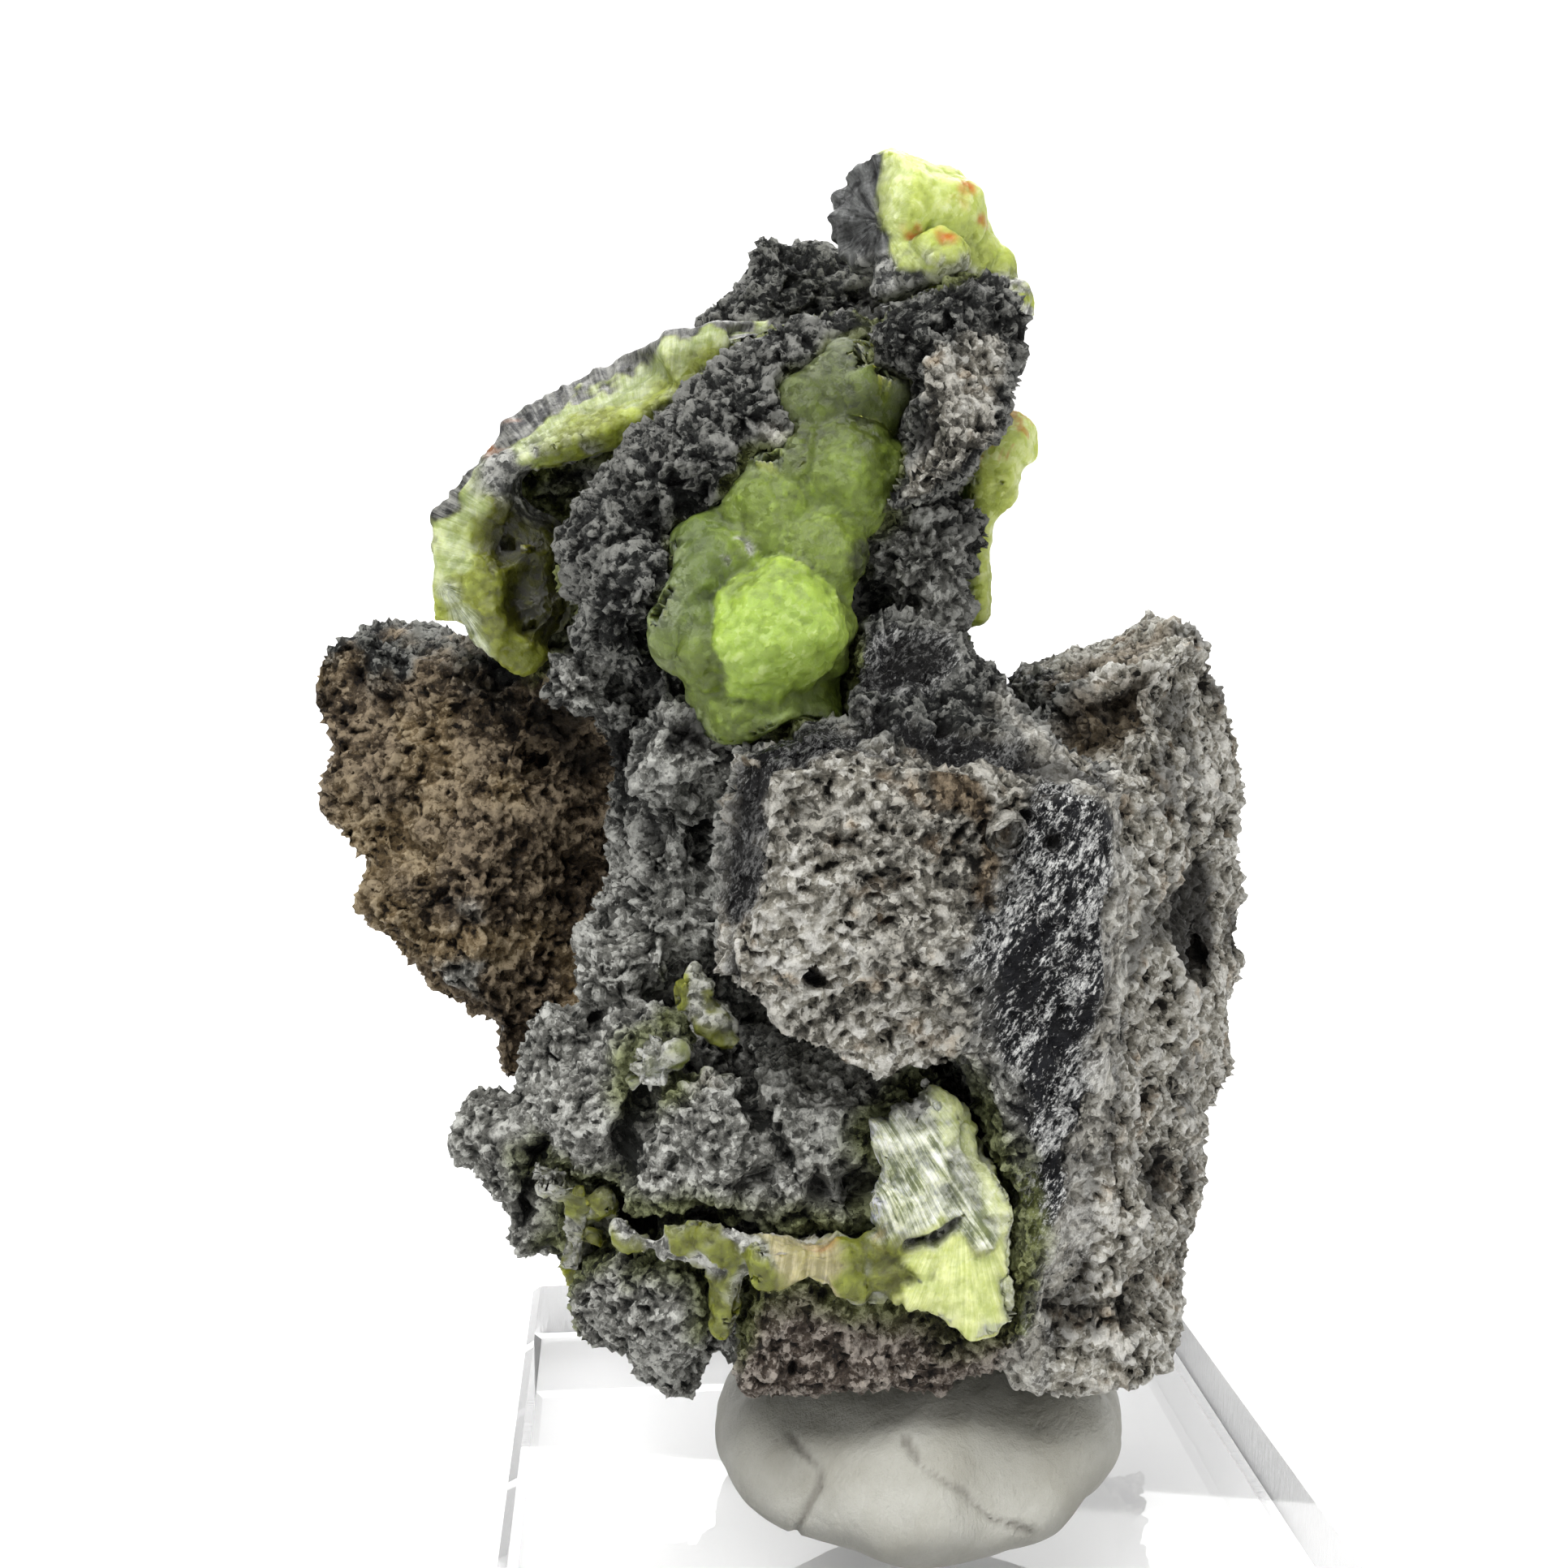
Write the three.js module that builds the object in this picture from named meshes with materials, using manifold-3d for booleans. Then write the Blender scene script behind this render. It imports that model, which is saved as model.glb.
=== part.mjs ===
// Wavellite on a broken chert breccia, pressed into a putty foot on a clear acrylic block.
//
// Millimetres, +Z up. The origin is the centre of the block's underside, +X is the specimen's right
// as it is shown, and the specimen is looked at along +Y.
//
// The rock is one solid: broken stones, cemented and coated by small lumps, fused to each other.
// Each growth of wavellite is a solid of its own, which sits on the rock with a thin gap.

import * as THREE from 'three';
import { TessellateModifier } from 'three/addons/modifiers/TessellateModifier.js';
import { mergeVertices } from 'three/addons/utils/BufferGeometryUtils.js';
import Module from 'manifold-3d';

const wasm = await Module();
wasm.setup();

// Driving dimensions of the holder
const BLOCK_SIDE = 32;
const BLOCK_HEIGHT = 8;
const BLOCK_BEVEL = 0.4;
const PUTTY_RADII = [8.1, 8.3, 3.6];
const PUTTY_CENTRE = [0.3, -3.9, 10.2];

// How close the pieces sit, and how finely a surface is divided
const CONTACT_GAP = 0.35;
const FACET = 4;
const MOST_DIVISIONS = 24;
const STONE_EDGE = 0.55;
const GROWTH_EDGE = 0.35;
const SMALLEST_FACE = 1e-4;
const MOST_TURN = THREE.MathUtils.degToRad(70);
const SAME_POINT = 1e-4;
const FIBRE_DEPTH = 0.2;
const LARGE_LUMP = 1.4;
const BEYOND_THE_OBJECT = 100;

// How far a surface wanders, and over what length, with finer bumps that are this share as deep
const FINE_SHARE = 0.6;
const STONE_SURFACE = { depth: 0.42, grain: 2 };
const LUMP_SURFACE = { depth: 0.2, grain: 0.8 };
const BUD_SURFACE = { depth: 0.08, grain: 0.7 };
const PUTTY_SURFACE = { depth: 0.35, grain: 3.5 };

// Repeatable roughness

/** A value from 0 to 1 that depends only on the lattice point and the seed. */
function latticeValue(i, j, k, seed) {
  const wave = Math.sin(i * 127.1 + j * 311.7 + k * 74.7 + seed * 53.3) * 43758.5453;
  return wave - Math.floor(wave);
}

/** Smooth noise from -1 to 1, with bumps about one unit across. */
function smoothNoise(x, y, z, seed) {
  const [i, j, k] = [Math.floor(x), Math.floor(y), Math.floor(z)];
  const ease = (t) => t * t * (3 - 2 * t);
  const [u, v, w] = [ease(x - i), ease(y - j), ease(z - k)];
  let sum = 0;
  for (const di of [0, 1]) {
    for (const dj of [0, 1]) {
      for (const dk of [0, 1]) {
        const weight = (di ? u : 1 - u) * (dj ? v : 1 - v) * (dk ? w : 1 - w);
        sum += weight * latticeValue(i + di, j + dj, k + dk, seed);
      }
    }
  }
  return 2 * sum - 1;
}

/** How far a surface stands out at a point: two sizes of bump together. */
function wander(point, { depth, grain }, seed) {
  const broad = smoothNoise(point.x / grain, point.y / grain, point.z / grain, seed);
  const half = grain / 2;
  const fine = smoothNoise(point.x / half, point.y / half, point.z / half, seed + 7);
  return depth * (broad + FINE_SHARE * fine);
}

// Solids

/** Shares the corner points of a geometry and drops all but their places. */
function weld(geometry) {
  const bare = geometry.clone();
  bare.deleteAttribute('normal');
  bare.deleteAttribute('uv');
  return mergeVertices(bare, SAME_POINT);
}

/** Turns a closed geometry into a solid that can be joined and cut. */
function toSolid(geometry) {
  const merged = weld(geometry);
  const vertProperties = new Float32Array(merged.attributes.position.array);
  const triVerts = new Uint32Array(merged.index.array);
  return new wasm.Manifold(new wasm.Mesh({ numProp: 3, vertProperties, triVerts }));
}

/** Turns a solid back into a geometry. */
function toGeometry(solid) {
  const mesh = solid.getMesh();
  const geometry = new THREE.BufferGeometry();
  geometry.setAttribute('position', new THREE.BufferAttribute(new Float32Array(mesh.vertProperties), 3));
  geometry.setIndex(new THREE.BufferAttribute(new Uint32Array(mesh.triVerts), 1));
  geometry.computeVertexNormals();
  return geometry;
}

/** Joins several solids into one. */
function fuse(solids) {
  return solids.reduce((whole, next) => whole.add(next));
}

/** Keeps the largest body of a solid and leaves out the crumbs that a cut made. */
function largestBody(solid) {
  return solid.decompose().reduce((best, next) => (next.volume() > best.volume() ? next : best));
}

/** A closed surface of shared points and triangles, which can close up its short edges. */
class Facets {
  constructor(geometry) {
    const { position } = geometry.attributes;
    const corners = Array.from(geometry.index.array);
    const pointAt = (n) => new THREE.Vector3().fromBufferAttribute(position, n);
    this.points = Array.from({ length: position.count }, (_, n) => pointAt(n));
    this.faces = Array.from({ length: corners.length / 3 }, (_, n) => corners.slice(3 * n, 3 * n + 3));
    this.facesAt = this.points.map(() => new Set());
    this.faces.forEach((face) => face.forEach((corner) => this.facesAt[corner].add(face)));
  }

  /** The points that share a face with this one. */
  around(corner) {
    const others = [...this.facesAt[corner]].flat().filter((other) => other !== corner);
    return new Set(others);
  }

  /** All edges shorter than a limit, the shortest first. */
  shortEdges(limit) {
    const edges = this.faces.flatMap(([a, b, c]) => [[a, b], [b, c], [c, a]]).filter(([a, b]) => a < b);
    const length = ([a, b]) => this.points[a].distanceTo(this.points[b]);
    return edges.filter((edge) => length(edge) < limit).sort((one, other) => length(one) - length(other));
  }

  /** Whether the faces at two points would still look the same way if both points moved to a place. */
  keepsFacing(a, b, place) {
    const all = [...this.facesAt[a], ...this.facesAt[b]];
    const kept = all.filter((face) => !(face.includes(a) && face.includes(b)));
    return kept.every((face) => {
      const before = new THREE.Triangle(...face.map((corner) => this.points[corner]));
      const after = new THREE.Triangle(
        ...face.map((corner) => (corner === a || corner === b ? place : this.points[corner])),
      );
      const turn = before.getNormal(new THREE.Vector3()).angleTo(after.getNormal(new THREE.Vector3()));
      return after.getArea() > SMALLEST_FACE && turn < MOST_TURN;
    });
  }

  /** Moves point a to a place and lets it take over from point b. */
  close(a, b, place) {
    this.points[a].copy(place);
    for (const face of this.facesAt[b]) {
      if (face.includes(a)) {
        face.forEach((corner) => corner !== b && this.facesAt[corner].delete(face));
        face.length = 0;
      } else {
        face[face.indexOf(b)] = a;
        this.facesAt[a].add(face);
      }
    }
    this.facesAt[b].clear();
  }

  /** Closes each short edge at its middle, but for those where that would open or fold the surface. */
  closeShortEdges(limit) {
    let closed = 0;
    for (const [a, b] of this.shortEdges(limit)) {
      const place = this.points[a].clone().lerp(this.points[b], 0.5);
      const around = this.around(a);
      const shared = [...this.around(b)].filter((corner) => around.has(corner));
      const isShort = around.has(b) && this.points[a].distanceTo(this.points[b]) < limit;
      if (isShort && shared.length === 2 && this.keepsFacing(a, b, place)) {
        this.close(a, b, place);
        closed += 1;
      }
    }
    this.faces = this.faces.filter((face) => face.length > 0);
    return closed;
  }

  toGeometry() {
    const geometry = new THREE.BufferGeometry().setFromPoints(this.points);
    return weld(geometry.setIndex(this.faces.flat()).toNonIndexed());
  }
}

/** Removes the slivers that joining and cutting leave on a solid. */
function withoutSlivers(solid, shortestEdge) {
  const facets = new Facets(toGeometry(solid));
  let closed = facets.closeShortEdges(shortestEdge);
  while (closed > 0) {
    closed = facets.closeShortEdges(shortestEdge);
  }
  return facets.toGeometry();
}

/** Moves each point of a closed geometry along its normal, by a distance that its place gives. */
function swell(geometry, distanceAt) {
  const merged = weld(geometry);
  merged.computeVertexNormals();
  const corners = merged.attributes.position;
  const point = new THREE.Vector3();
  const normal = new THREE.Vector3();
  for (let n = 0; n < corners.count; n += 1) {
    point.fromBufferAttribute(corners, n);
    normal.fromBufferAttribute(merged.attributes.normal, n);
    point.addScaledVector(normal, distanceAt(point));
    corners.setXYZ(n, point.x, point.y, point.z);
  }
  return merged;
}

/** Stands a geometry that points up along +Y on a point, so that it faces another way. */
function aim(geometry, from, facing) {
  const up = new THREE.Vector3(0, 1, 0);
  const turn = new THREE.Quaternion().setFromUnitVectors(up, new THREE.Vector3(...facing).normalize());
  return geometry.applyQuaternion(turn).translate(...from);
}

/** Everything on one side of a plane, as far as this specimen reaches. */
function farSide({ from, facing }) {
  const size = BEYOND_THE_OBJECT;
  return toSolid(aim(new THREE.BoxGeometry(size, size, size).translate(0, size / 2, 0), from, facing));
}

/**
 * A broken stone. Its outline is seen from the front, as x and z, and it runs from front to back in
 * y. Each break is a plane that cuts off what it faces. The surface is then divided and roughened.
 */
function stone({ outline, front, back, edge = 0.8, breaks = [], facet = FACET, seed, grow = 0 }) {
  const shape = new THREE.Shape(outline.map(([x, z]) => new THREE.Vector2(x, z)));
  const prism = new THREE.ExtrudeGeometry(shape, {
    depth: back - front - 2 * edge,
    bevelThickness: edge,
    bevelSize: edge,
    bevelOffset: -edge,
    bevelSegments: 1,
  });
  prism.rotateX(Math.PI / 2).translate(0, back - edge, 0);
  const cut = breaks.reduce((whole, plane) => whole.subtract(farSide(plane)), toSolid(prism));
  const divided = new TessellateModifier(facet, MOST_DIVISIONS).modify(toGeometry(cut));
  return toSolid(swell(divided, (point) => grow + wander(point, STONE_SURFACE, seed)));
}

/** A rough round lump at x, y, z with a radius. Large ones have more faces. */
function lump([x, y, z, radius], surface, grow = 0) {
  const large = radius > LARGE_LUMP;
  const ball = large ? new THREE.IcosahedronGeometry(radius, 1) : new THREE.DodecahedronGeometry(radius);
  return toSolid(swell(ball.translate(x, y, z), (point) => grow + wander(point, surface, radius)));
}

/**
 * A cutter that leaves a broken face of fibres spreading from one point: a drum whose lower face is
 * a fan of ridges and grooves. It removes what lies on the side that it faces.
 */
function fibreCutter({ from, facing, radius, ridges }) {
  const height = radius * 2;
  const drum = new THREE.CylinderGeometry(radius, radius, height, ridges * 2);
  const corners = drum.attributes.position;
  for (let n = 0; n < corners.count; n += 1) {
    const onRim = Math.hypot(corners.getX(n), corners.getZ(n)) > radius / 2;
    if (corners.getY(n) < 0 && onRim) {
      const turn = Math.atan2(corners.getZ(n), corners.getX(n)) / (2 * Math.PI);
      const raised = Math.abs(Math.round(turn * ridges * 2)) % 2 === 1;
      corners.setY(n, corners.getY(n) + (raised ? FIBRE_DEPTH : -FIBRE_DEPTH));
    }
  }
  return toSolid(aim(drum.translate(0, height / 2, 0), from, facing));
}

// The rock: its stones

const STONES = {
  leftFragment: {
    outline: [
      [-23.9, 39.4], [-23, 41], [-21.6, 41.5], [-14, 40.8], [-9.5, 37], [-9, 30], [-12, 25],
      [-13.8, 22.6], [-16.4, 22.4], [-16.8, 25.2], [-18.8, 26.4], [-20.5, 28], [-22.2, 30.4],
      [-21.8, 32], [-23.7, 34], [-22.9, 36.6],
    ],
    front: 1.5,
    back: 12,
    edge: 1,
    breaks: [
      { from: [-19, 2.2, 34], facing: [-0.2, -1, 0.25] },
      { from: [-13, 3.4, 33], facing: [0.45, -1, 0] },
      { from: [-15, 9, 25], facing: [-0.3, 0.5, -0.9] },
    ],
    seed: 1,
  },
  heart: {
    outline: [[-12, 40], [2.5, 41], [7, 36], [9, 20], [6, 14.6], [-6, 14.6], [-10, 19], [-11, 28]],
    front: -2,
    back: 10,
    breaks: [{ from: [0, 10, 20], facing: [-0.2, 1, -0.35] }],
    facet: 7,
    seed: 2,
  },
  coreRight: {
    outline: [[-9.5, 38], [2, 38.5], [2.3, 45], [2.8, 49], [4, 53], [-2, 54.2], [-6.6, 52.8], [-10, 46]],
    front: -2.2,
    back: 10,
    breaks: [{ from: [2, 8, 50], facing: [0.5, 1, 0.4] }],
    facet: 5,
    seed: 3,
  },
  hollowFloor: {
    outline: [
      [-17, 43], [-16, 40], [-9, 38], [-5, 45], [-4, 53.2], [-7, 53], [-10.6, 51.6], [-14.3, 49.6],
      [-16.6, 46.8],
    ],
    front: 3,
    back: 11,
    breaks: [{ from: [-13, 9.5, 47], facing: [-0.6, 1, 0.3] }],
    seed: 14,
  },
  column: {
    outline: [
      [-3, 53.4], [-5.4, 53.2], [-9.5, 50], [-12, 47.2], [-13, 44], [-12, 40.4], [-9.6, 39.4],
      [-7.8, 42], [-6.8, 46], [-4, 50],
    ],
    front: -3.4,
    back: 4,
    seed: 15,
  },
  neck: {
    outline: [[-10, 41], [-7.6, 40.6], [-7, 33], [-8, 27], [-12, 26], [-13, 29], [-10.6, 33], [-10.2, 37]],
    front: -4,
    back: 4,
    seed: 16,
  },
  rearLump: {
    outline: [
      [-7.2, 54.6], [-5.6, 56.4], [-4.9, 58], [-2.8, 57.8], [-1.2, 56.6], [0, 54], [-3, 51.5], [-6, 52],
    ],
    front: 4.5,
    back: 10,
    edge: 1.4,
    seed: 4,
  },
  crownRock: {
    outline: [
      [-1.2, 54], [0.7, 54.8], [2, 55.6], [3.5, 55], [4.5, 54], [4.5, 52.4], [3.7, 50.8], [2.6, 49.2],
      [-0.5, 49], [-0.6, 52],
    ],
    front: -5,
    back: 6,
    edge: 1,
    breaks: [{ from: [2, 4, 54], facing: [0.3, 1, 0.8] }],
    seed: 5,
  },
  tanPiece: {
    outline: [[0, 51.6], [1.2, 53], [3.2, 52.8], [3.4, 51], [2.6, 49], [1.3, 47.2], [-1.2, 46.5], [-0.3, 49]],
    front: -8,
    back: -2,
    edge: 0.6,
    breaks: [{ from: [1.4, -7.4, 50], facing: [0.25, -1, 0.3] }],
    seed: 6,
  },
  frontBlock: {
    outline: [
      [-7.1, 37.9], [-4.6, 38.8], [-2.4, 38.2], [6.2, 37.2], [6.5, 31], [5.8, 26], [1, 27.2],
      [-2.4, 26.9], [-5, 28.2], [-7.9, 30.6], [-7.9, 32.4], [-7.4, 36],
    ],
    front: -12.8,
    back: 0,
    edge: 0.5,
    breaks: [
      { from: [6, -11.6, 31], facing: [1, -0.75, 0] },
      { from: [-7.2, -11.9, 34], facing: [-1, -0.8, 0.1] },
      { from: [0, -12.4, 30], facing: [0, -1, -0.12] },
    ],
    seed: 7,
  },
  blackShoulder: {
    outline: [
      [-2.7, 36.5], [-2.7, 41], [-1.6, 42.5], [1.4, 42.3], [2.6, 41], [3.6, 38.8], [7.2, 36.8], [2, 34],
    ],
    front: -12,
    back: 3,
    edge: 0.6,
    breaks: [{ from: [0, -11.6, 37.6], facing: [0.1, -0.6, 0.8] }],
    seed: 8,
  },
  chertFace: {
    outline: [
      [-0.5, 29], [2, 34], [6.6, 34], [6.2, 27], [5.3, 21.5], [3.9, 17.6], [2.3, 16.4], [2.5, 22], [1.2, 26],
    ],
    front: -11.9,
    back: 0,
    edge: 0.4,
    breaks: [{ from: [5.9, -11.6, 28], facing: [1, -0.6, -0.2] }],
    seed: 9,
  },
  rightSlab: {
    outline: [
      [4.6, 36], [6, 39.6], [8, 40.3], [10.8, 41], [12.2, 42.1], [14.2, 39.5], [15, 36.5],
      [14.9, 32.4], [15.6, 28], [14, 22.6], [12.7, 21.2], [13, 18.8], [12, 16.4], [12.2, 12.4], [7, 12.4],
      [2.6, 14.6], [3.4, 24],
    ],
    front: -11,
    back: 9,
    edge: 0.6,
    breaks: [
      { from: [6.2, -10.6, 30], facing: [1, -0.75, 0.1] },
      { from: [7.5, -6, 38.5], facing: [-0.2, -1, 0.75] },
      { from: [12, 8, 30], facing: [0.5, 1, 0.1] },
      { from: [8, 5, 13.5], facing: [0.15, 0.9, -1] },
      { from: [8.5, -6, 13.5], facing: [0.05, -0.28, -1] },
    ],
    seed: 10,
  },
  lowerBlock: {
    outline: [
      [-7.4, 15], [-6.9, 19.8], [-2.8, 20.2], [1, 19.2], [2.9, 18], [2.6, 15.6], [0.4, 14.6], [-6.8, 14.4],
    ],
    front: -11,
    back: 8,
    edge: 0.6,
    seed: 11,
  },
  shelf: {
    outline: [
      [-6.4, 26], [-3.1, 26.6], [0.3, 26], [0.4, 23], [-0.8, 20.8], [-2.7, 20.1], [-6, 20.2], [-6.6, 22.4],
    ],
    front: -10,
    back: -1,
    breaks: [{ from: [-3, -8.6, 26], facing: [0, -0.5, 1] }],
    seed: 12,
  },
  lowerLeft: {
    outline: [[-15.4, 25], [-12, 27], [-7, 27], [-6, 16], [-9.6, 15], [-13, 17.2], [-14.6, 20.5]],
    front: -5.5,
    back: 5,
    edge: 1.2,
    seed: 13,
  },
};

// The rock: small lumps that coat and cement the stones, each as x, y, z and radius

const COLUMN_LUMPS = [
  [-4.5, -2.6, 52.2, 1.6], [-6.4, -3.6, 49.8, 1.8], [-7.9, -3.8, 48.2, 2], [-5.3, -4.4, 48.9, 0.9],
  [-9.4, -3.4, 47.2, 1.8], [-11.3, -3.4, 45.3, 2], [-10.2, -4.4, 43.5, 2.1], [-11.2, -3.4, 42.2, 1.8],
  [-9.6, -4.4, 41.6, 1.5], [-12.8, -1.4, 39.8, 1.6], [-11.2, -2, 38.6, 1.3], [-8.8, -4.8, 37.6, 1.9],
  [-8.8, -4.4, 35.4, 1.5], [-9.2, -4, 33.2, 1.6], [-9.2, -4.2, 31, 1.7], [-11.4, -3.6, 28.8, 1.9],
  [-10.2, -4.4, 29.4, 1.3],
];
const MIDDLE_LUMPS = [
  [0.2, -3.4, 44.6, 2.1], [1.6, -2, 45.6, 1.7], [0.9, -3.4, 42.8, 1.6], [-0.9, -3, 46.2, 1.1],
  [-0.5, -4.6, 52.6, 1.5], [1.4, -4.6, 53.6, 1.5], [-1.6, -3.4, 51.4, 0.9],
];
const LOWER_LUMPS = [
  [-12, -5.6, 23.8, 2.7], [-10.4, -6.2, 26.6, 1.9], [-16.1, -3, 22.7, 1.7], [-14.8, -4, 21.6, 1.8],
  [-8.1, -8.2, 24.2, 2.1], [-9.6, -8, 22, 2], [-7.2, -8.6, 22.2, 1.9], [-9.7, -7, 17.6, 2.9],
  [-14, -4, 19.4, 1.5], [-9.1, -6, 14.8, 1.5], [-13.4, -3.8, 26, 1.8], [-3.4, -9, 21.6, 1.5],
  [-5.2, -8.8, 22.8, 1.3],
];

// Pits and pores, each as x, y, z and radius
const PITS = [
  [-4.7, -12.4, 30.9, 0.7], [1.9, -12.4, 35.4, 0.6], [0.9, -10.4, 39, 0.8], [-6.9, -9.8, 21, 0.8],
  [12.6, -2.4, 28.4, 1.1], [10.4, -5.4, 20.6, 0.7], [-20, 2.4, 33, 0.8], [-14.6, 3, 36.4, 0.9],
  [-4, 10, 40, 1.2], [2, 9.8, 26, 1.1],
];

/** All stones and lumps, fused. A positive grow swells them, to cut room for what sits on them. */
function rockBody(grow) {
  const stones = Object.values(STONES).map((shape) => stone({ ...shape, grow }));
  const spots = [...COLUMN_LUMPS, ...MIDDLE_LUMPS, ...LOWER_LUMPS];
  const lumps = spots.map((spot) => lump(spot, LUMP_SURFACE, grow));
  return fuse([...stones, ...lumps]);
}

function matrixRock() {
  return largestBody(rockBody(0).subtract(fuse(PITS.map((spot) => lump(spot, BUD_SURFACE)))));
}

// The wavellite

const ROCK_WITH_GAP = rockBody(CONTACT_GAP);

/** A growth of stones and rounded buds, cut to sit on the rock and broken across by fibre faces. */
function growth({ buds = [], crusts = [], breaks = [] }) {
  const body = fuse([...crusts.map(stone), ...buds.map((spot) => lump(spot, BUD_SURFACE))]);
  const broken = breaks.reduce((whole, face) => whole.subtract(fibreCutter(face)), body);
  return largestBody(broken.subtract(ROCK_WITH_GAP));
}

/** The broken ball at the top, with its dark fan of fibres and the dome and buds behind it. */
function crownWavellite() {
  return growth({
    buds: [
      [-0.4, 0, 58, 2.5], [1.1, 0.2, 57.9, 2.2], [2.4, 0.8, 56.4, 1.6], [3.6, 0.8, 55.8, 1.2],
      [4.4, 0.6, 54.6, 1], [-1.1, -1.8, 55.2, 0.8], [-0.1, -1.4, 55.6, 1.2], [1.1, -1.8, 55.8, 1.3],
    ],
    breaks: [{ from: [-0.5, -1.7, 58], facing: [-0.75, -0.62, 0.1], radius: 5, ridges: 15 }],
  });
}

/** The broken crest along the upper left, and the rounded lining of the hollow under it. */
function ridgeWavellite() {
  return growth({
    crusts: [
      {
        outline: [
          [-3.4, 54.3], [-6.5, 54.2], [-9, 53.4], [-10.6, 52.7], [-10.4, 50.2], [-8, 50.6], [-5.4, 52.4],
        ],
        front: -0.4,
        back: 3.4,
        edge: 0.5,
        seed: 31,
      },
      {
        outline: [
          [-10, 52.9], [-13, 52], [-15.3, 50.4], [-16.6, 48.8], [-15, 48], [-12.3, 48.9], [-9.6, 49.8],
        ],
        front: 0,
        back: 3.6,
        edge: 0.5,
        seed: 32,
      },
      {
        outline: [
          [-15.4, 50], [-17.4, 48], [-18.7, 46.4], [-18.9, 45], [-18.5, 42.2], [-16.8, 42], [-16.6, 45],
          [-15, 47.6],
        ],
        front: 0.6,
        back: 4,
        edge: 0.5,
        seed: 33,
      },
    ],
    buds: [
      [-16, 1.8, 46.6, 1.6], [-14.6, 2.4, 45, 1.9], [-16.4, 1.6, 44, 1.6], [-14.4, 2.4, 42.8, 1.7],
      [-16.2, 1.4, 42.2, 1.5], [-15, 1.8, 41.2, 1.3],
    ],
    breaks: [
      { from: [-17.9, 0.9, 42.8], facing: [-0.5, -0.75, -0.4], radius: 2.6, ridges: 9 },
      { from: [-13.2, 0.2, 49.4], facing: [-0.35, -0.55, 0.75], radius: 5, ridges: 16 },
    ],
  });
}

/** The bright green balls and lobes down the middle. */
function centralWavellite() {
  return growth({
    buds: [
      [-2, -2.8, 50.7, 1.8], [-3.6, -3, 49.7, 1.7], [-2.8, -4, 47.4, 2], [-4.4, -3.6, 48, 1.8],
      [-3.8, -4.8, 44.9, 1.6], [-5.4, -4, 45.9, 1.9], [-5.2, -5.2, 41.9, 2.6], [-7.1, -4.4, 44.1, 1.8],
      [-7.8, -4.6, 42.6, 1.5], [-5.2, -4.3, 39.2, 2.4], [-6.9, -4.6, 37.2, 1.5], [-3.1, -3.8, 40, 1.6],
    ],
  });
}

/** The balls and drips on the right flank. */
function sideWavellite() {
  return growth({
    buds: [
      [4.4, 1.2, 48.8, 1.4], [3.6, 1, 47.4, 1.4], [3, 1, 45.8, 1.1], [2.8, 1, 44.2, 1.1],
      [2.7, 0.8, 42.7, 1.1],
    ],
  });
}

/** The pale band and fans of fibres above the lower block, and the green rind left of it. */
function frontWavellite() {
  return growth({
    crusts: [
      {
        outline: [
          [-2.3, 24.2], [-0.3, 26], [1.1, 24.8], [2.4, 22.4], [2.7, 20.2], [1.3, 19.4], [-0.6, 19.6],
          [-2.2, 21.4],
        ],
        front: -12.2,
        back: -9,
        edge: 0.3,
        seed: 41,
      },
      {
        outline: [[0.2, 21], [-0.7, 19.6], [-0.4, 18.6], [1, 17.6], [2.7, 18.2], [2.7, 20.4], [1.8, 21]],
        front: -12.8,
        back: -9.6,
        edge: 0.3,
        seed: 42,
      },
      {
        outline: [
          [-6.8, 20.9], [-4.6, 20.8], [-2.8, 20.4], [-0.4, 20.4], [-0.4, 18.8], [-2.8, 18.7],
          [-4.6, 19.3], [-6.6, 19.1],
        ],
        front: -12,
        back: -9,
        edge: 0.3,
        seed: 43,
      },
    ],
    buds: [
      [-10.6, -8.4, 20.7, 1.1], [-9.2, -9, 20.4, 1.2], [-7.8, -9.6, 20.4, 1.3], [-6.8, -9.6, 19, 1.2],
      [-7.2, -9.3, 17.6, 1],
    ],
    breaks: [
      { from: [2.2, -11.9, 20.6], facing: [-0.1, -1, 0.2], radius: 5.6, ridges: 22 },
    ],
  });
}

/** The olive crystals between the lumps of the lower left corner. */
function cornerWavellite() {
  return growth({
    buds: [
      [-13.4, -6, 22, 1.2], [-12.2, -6.6, 20.9, 1.2], [-12.6, -6.2, 19.5, 1.1], [-12.8, -5.8, 18.2, 1],
      [-12.6, -5.4, 17, 0.9],
    ],
  });
}

/** The crystals in the cleft left of the front block. */
function cleftWavellite() {
  return growth({ buds: [[-8.4, -7, 28.9, 1], [-8, -7, 27.8, 0.9], [-8.8, -6.9, 28.3, 0.7]] });
}

/** The small patch on the shoulder of the lower lumps. */
function shoulderWavellite() {
  return growth({ buds: [[-9.9, -7.8, 26.4, 1.2], [-10.7, -7.3, 27.2, 0.8]] });
}

// The holder

/** A pressed blob of putty, flat underneath, with a dent that the rock fills and a lip at the right. */
function puttyFoot() {
  const blob = new THREE.IcosahedronGeometry(1, 5).scale(...PUTTY_RADII).translate(...PUTTY_CENTRE);
  const lip = new THREE.IcosahedronGeometry(2.4, 3).translate(4.8, -5.4, 11.4);
  const pressed = (shape) => toSolid(swell(shape, (point) => wander(point, PUTTY_SURFACE, 5)));
  const underside = { from: [0, 0, BLOCK_HEIGHT + CONTACT_GAP], facing: [0, 0, -1] };
  const body = fuse([blob, lip].map(pressed)).subtract(farSide(underside));
  return largestBody(body.subtract(ROCK_WITH_GAP));
}

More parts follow.
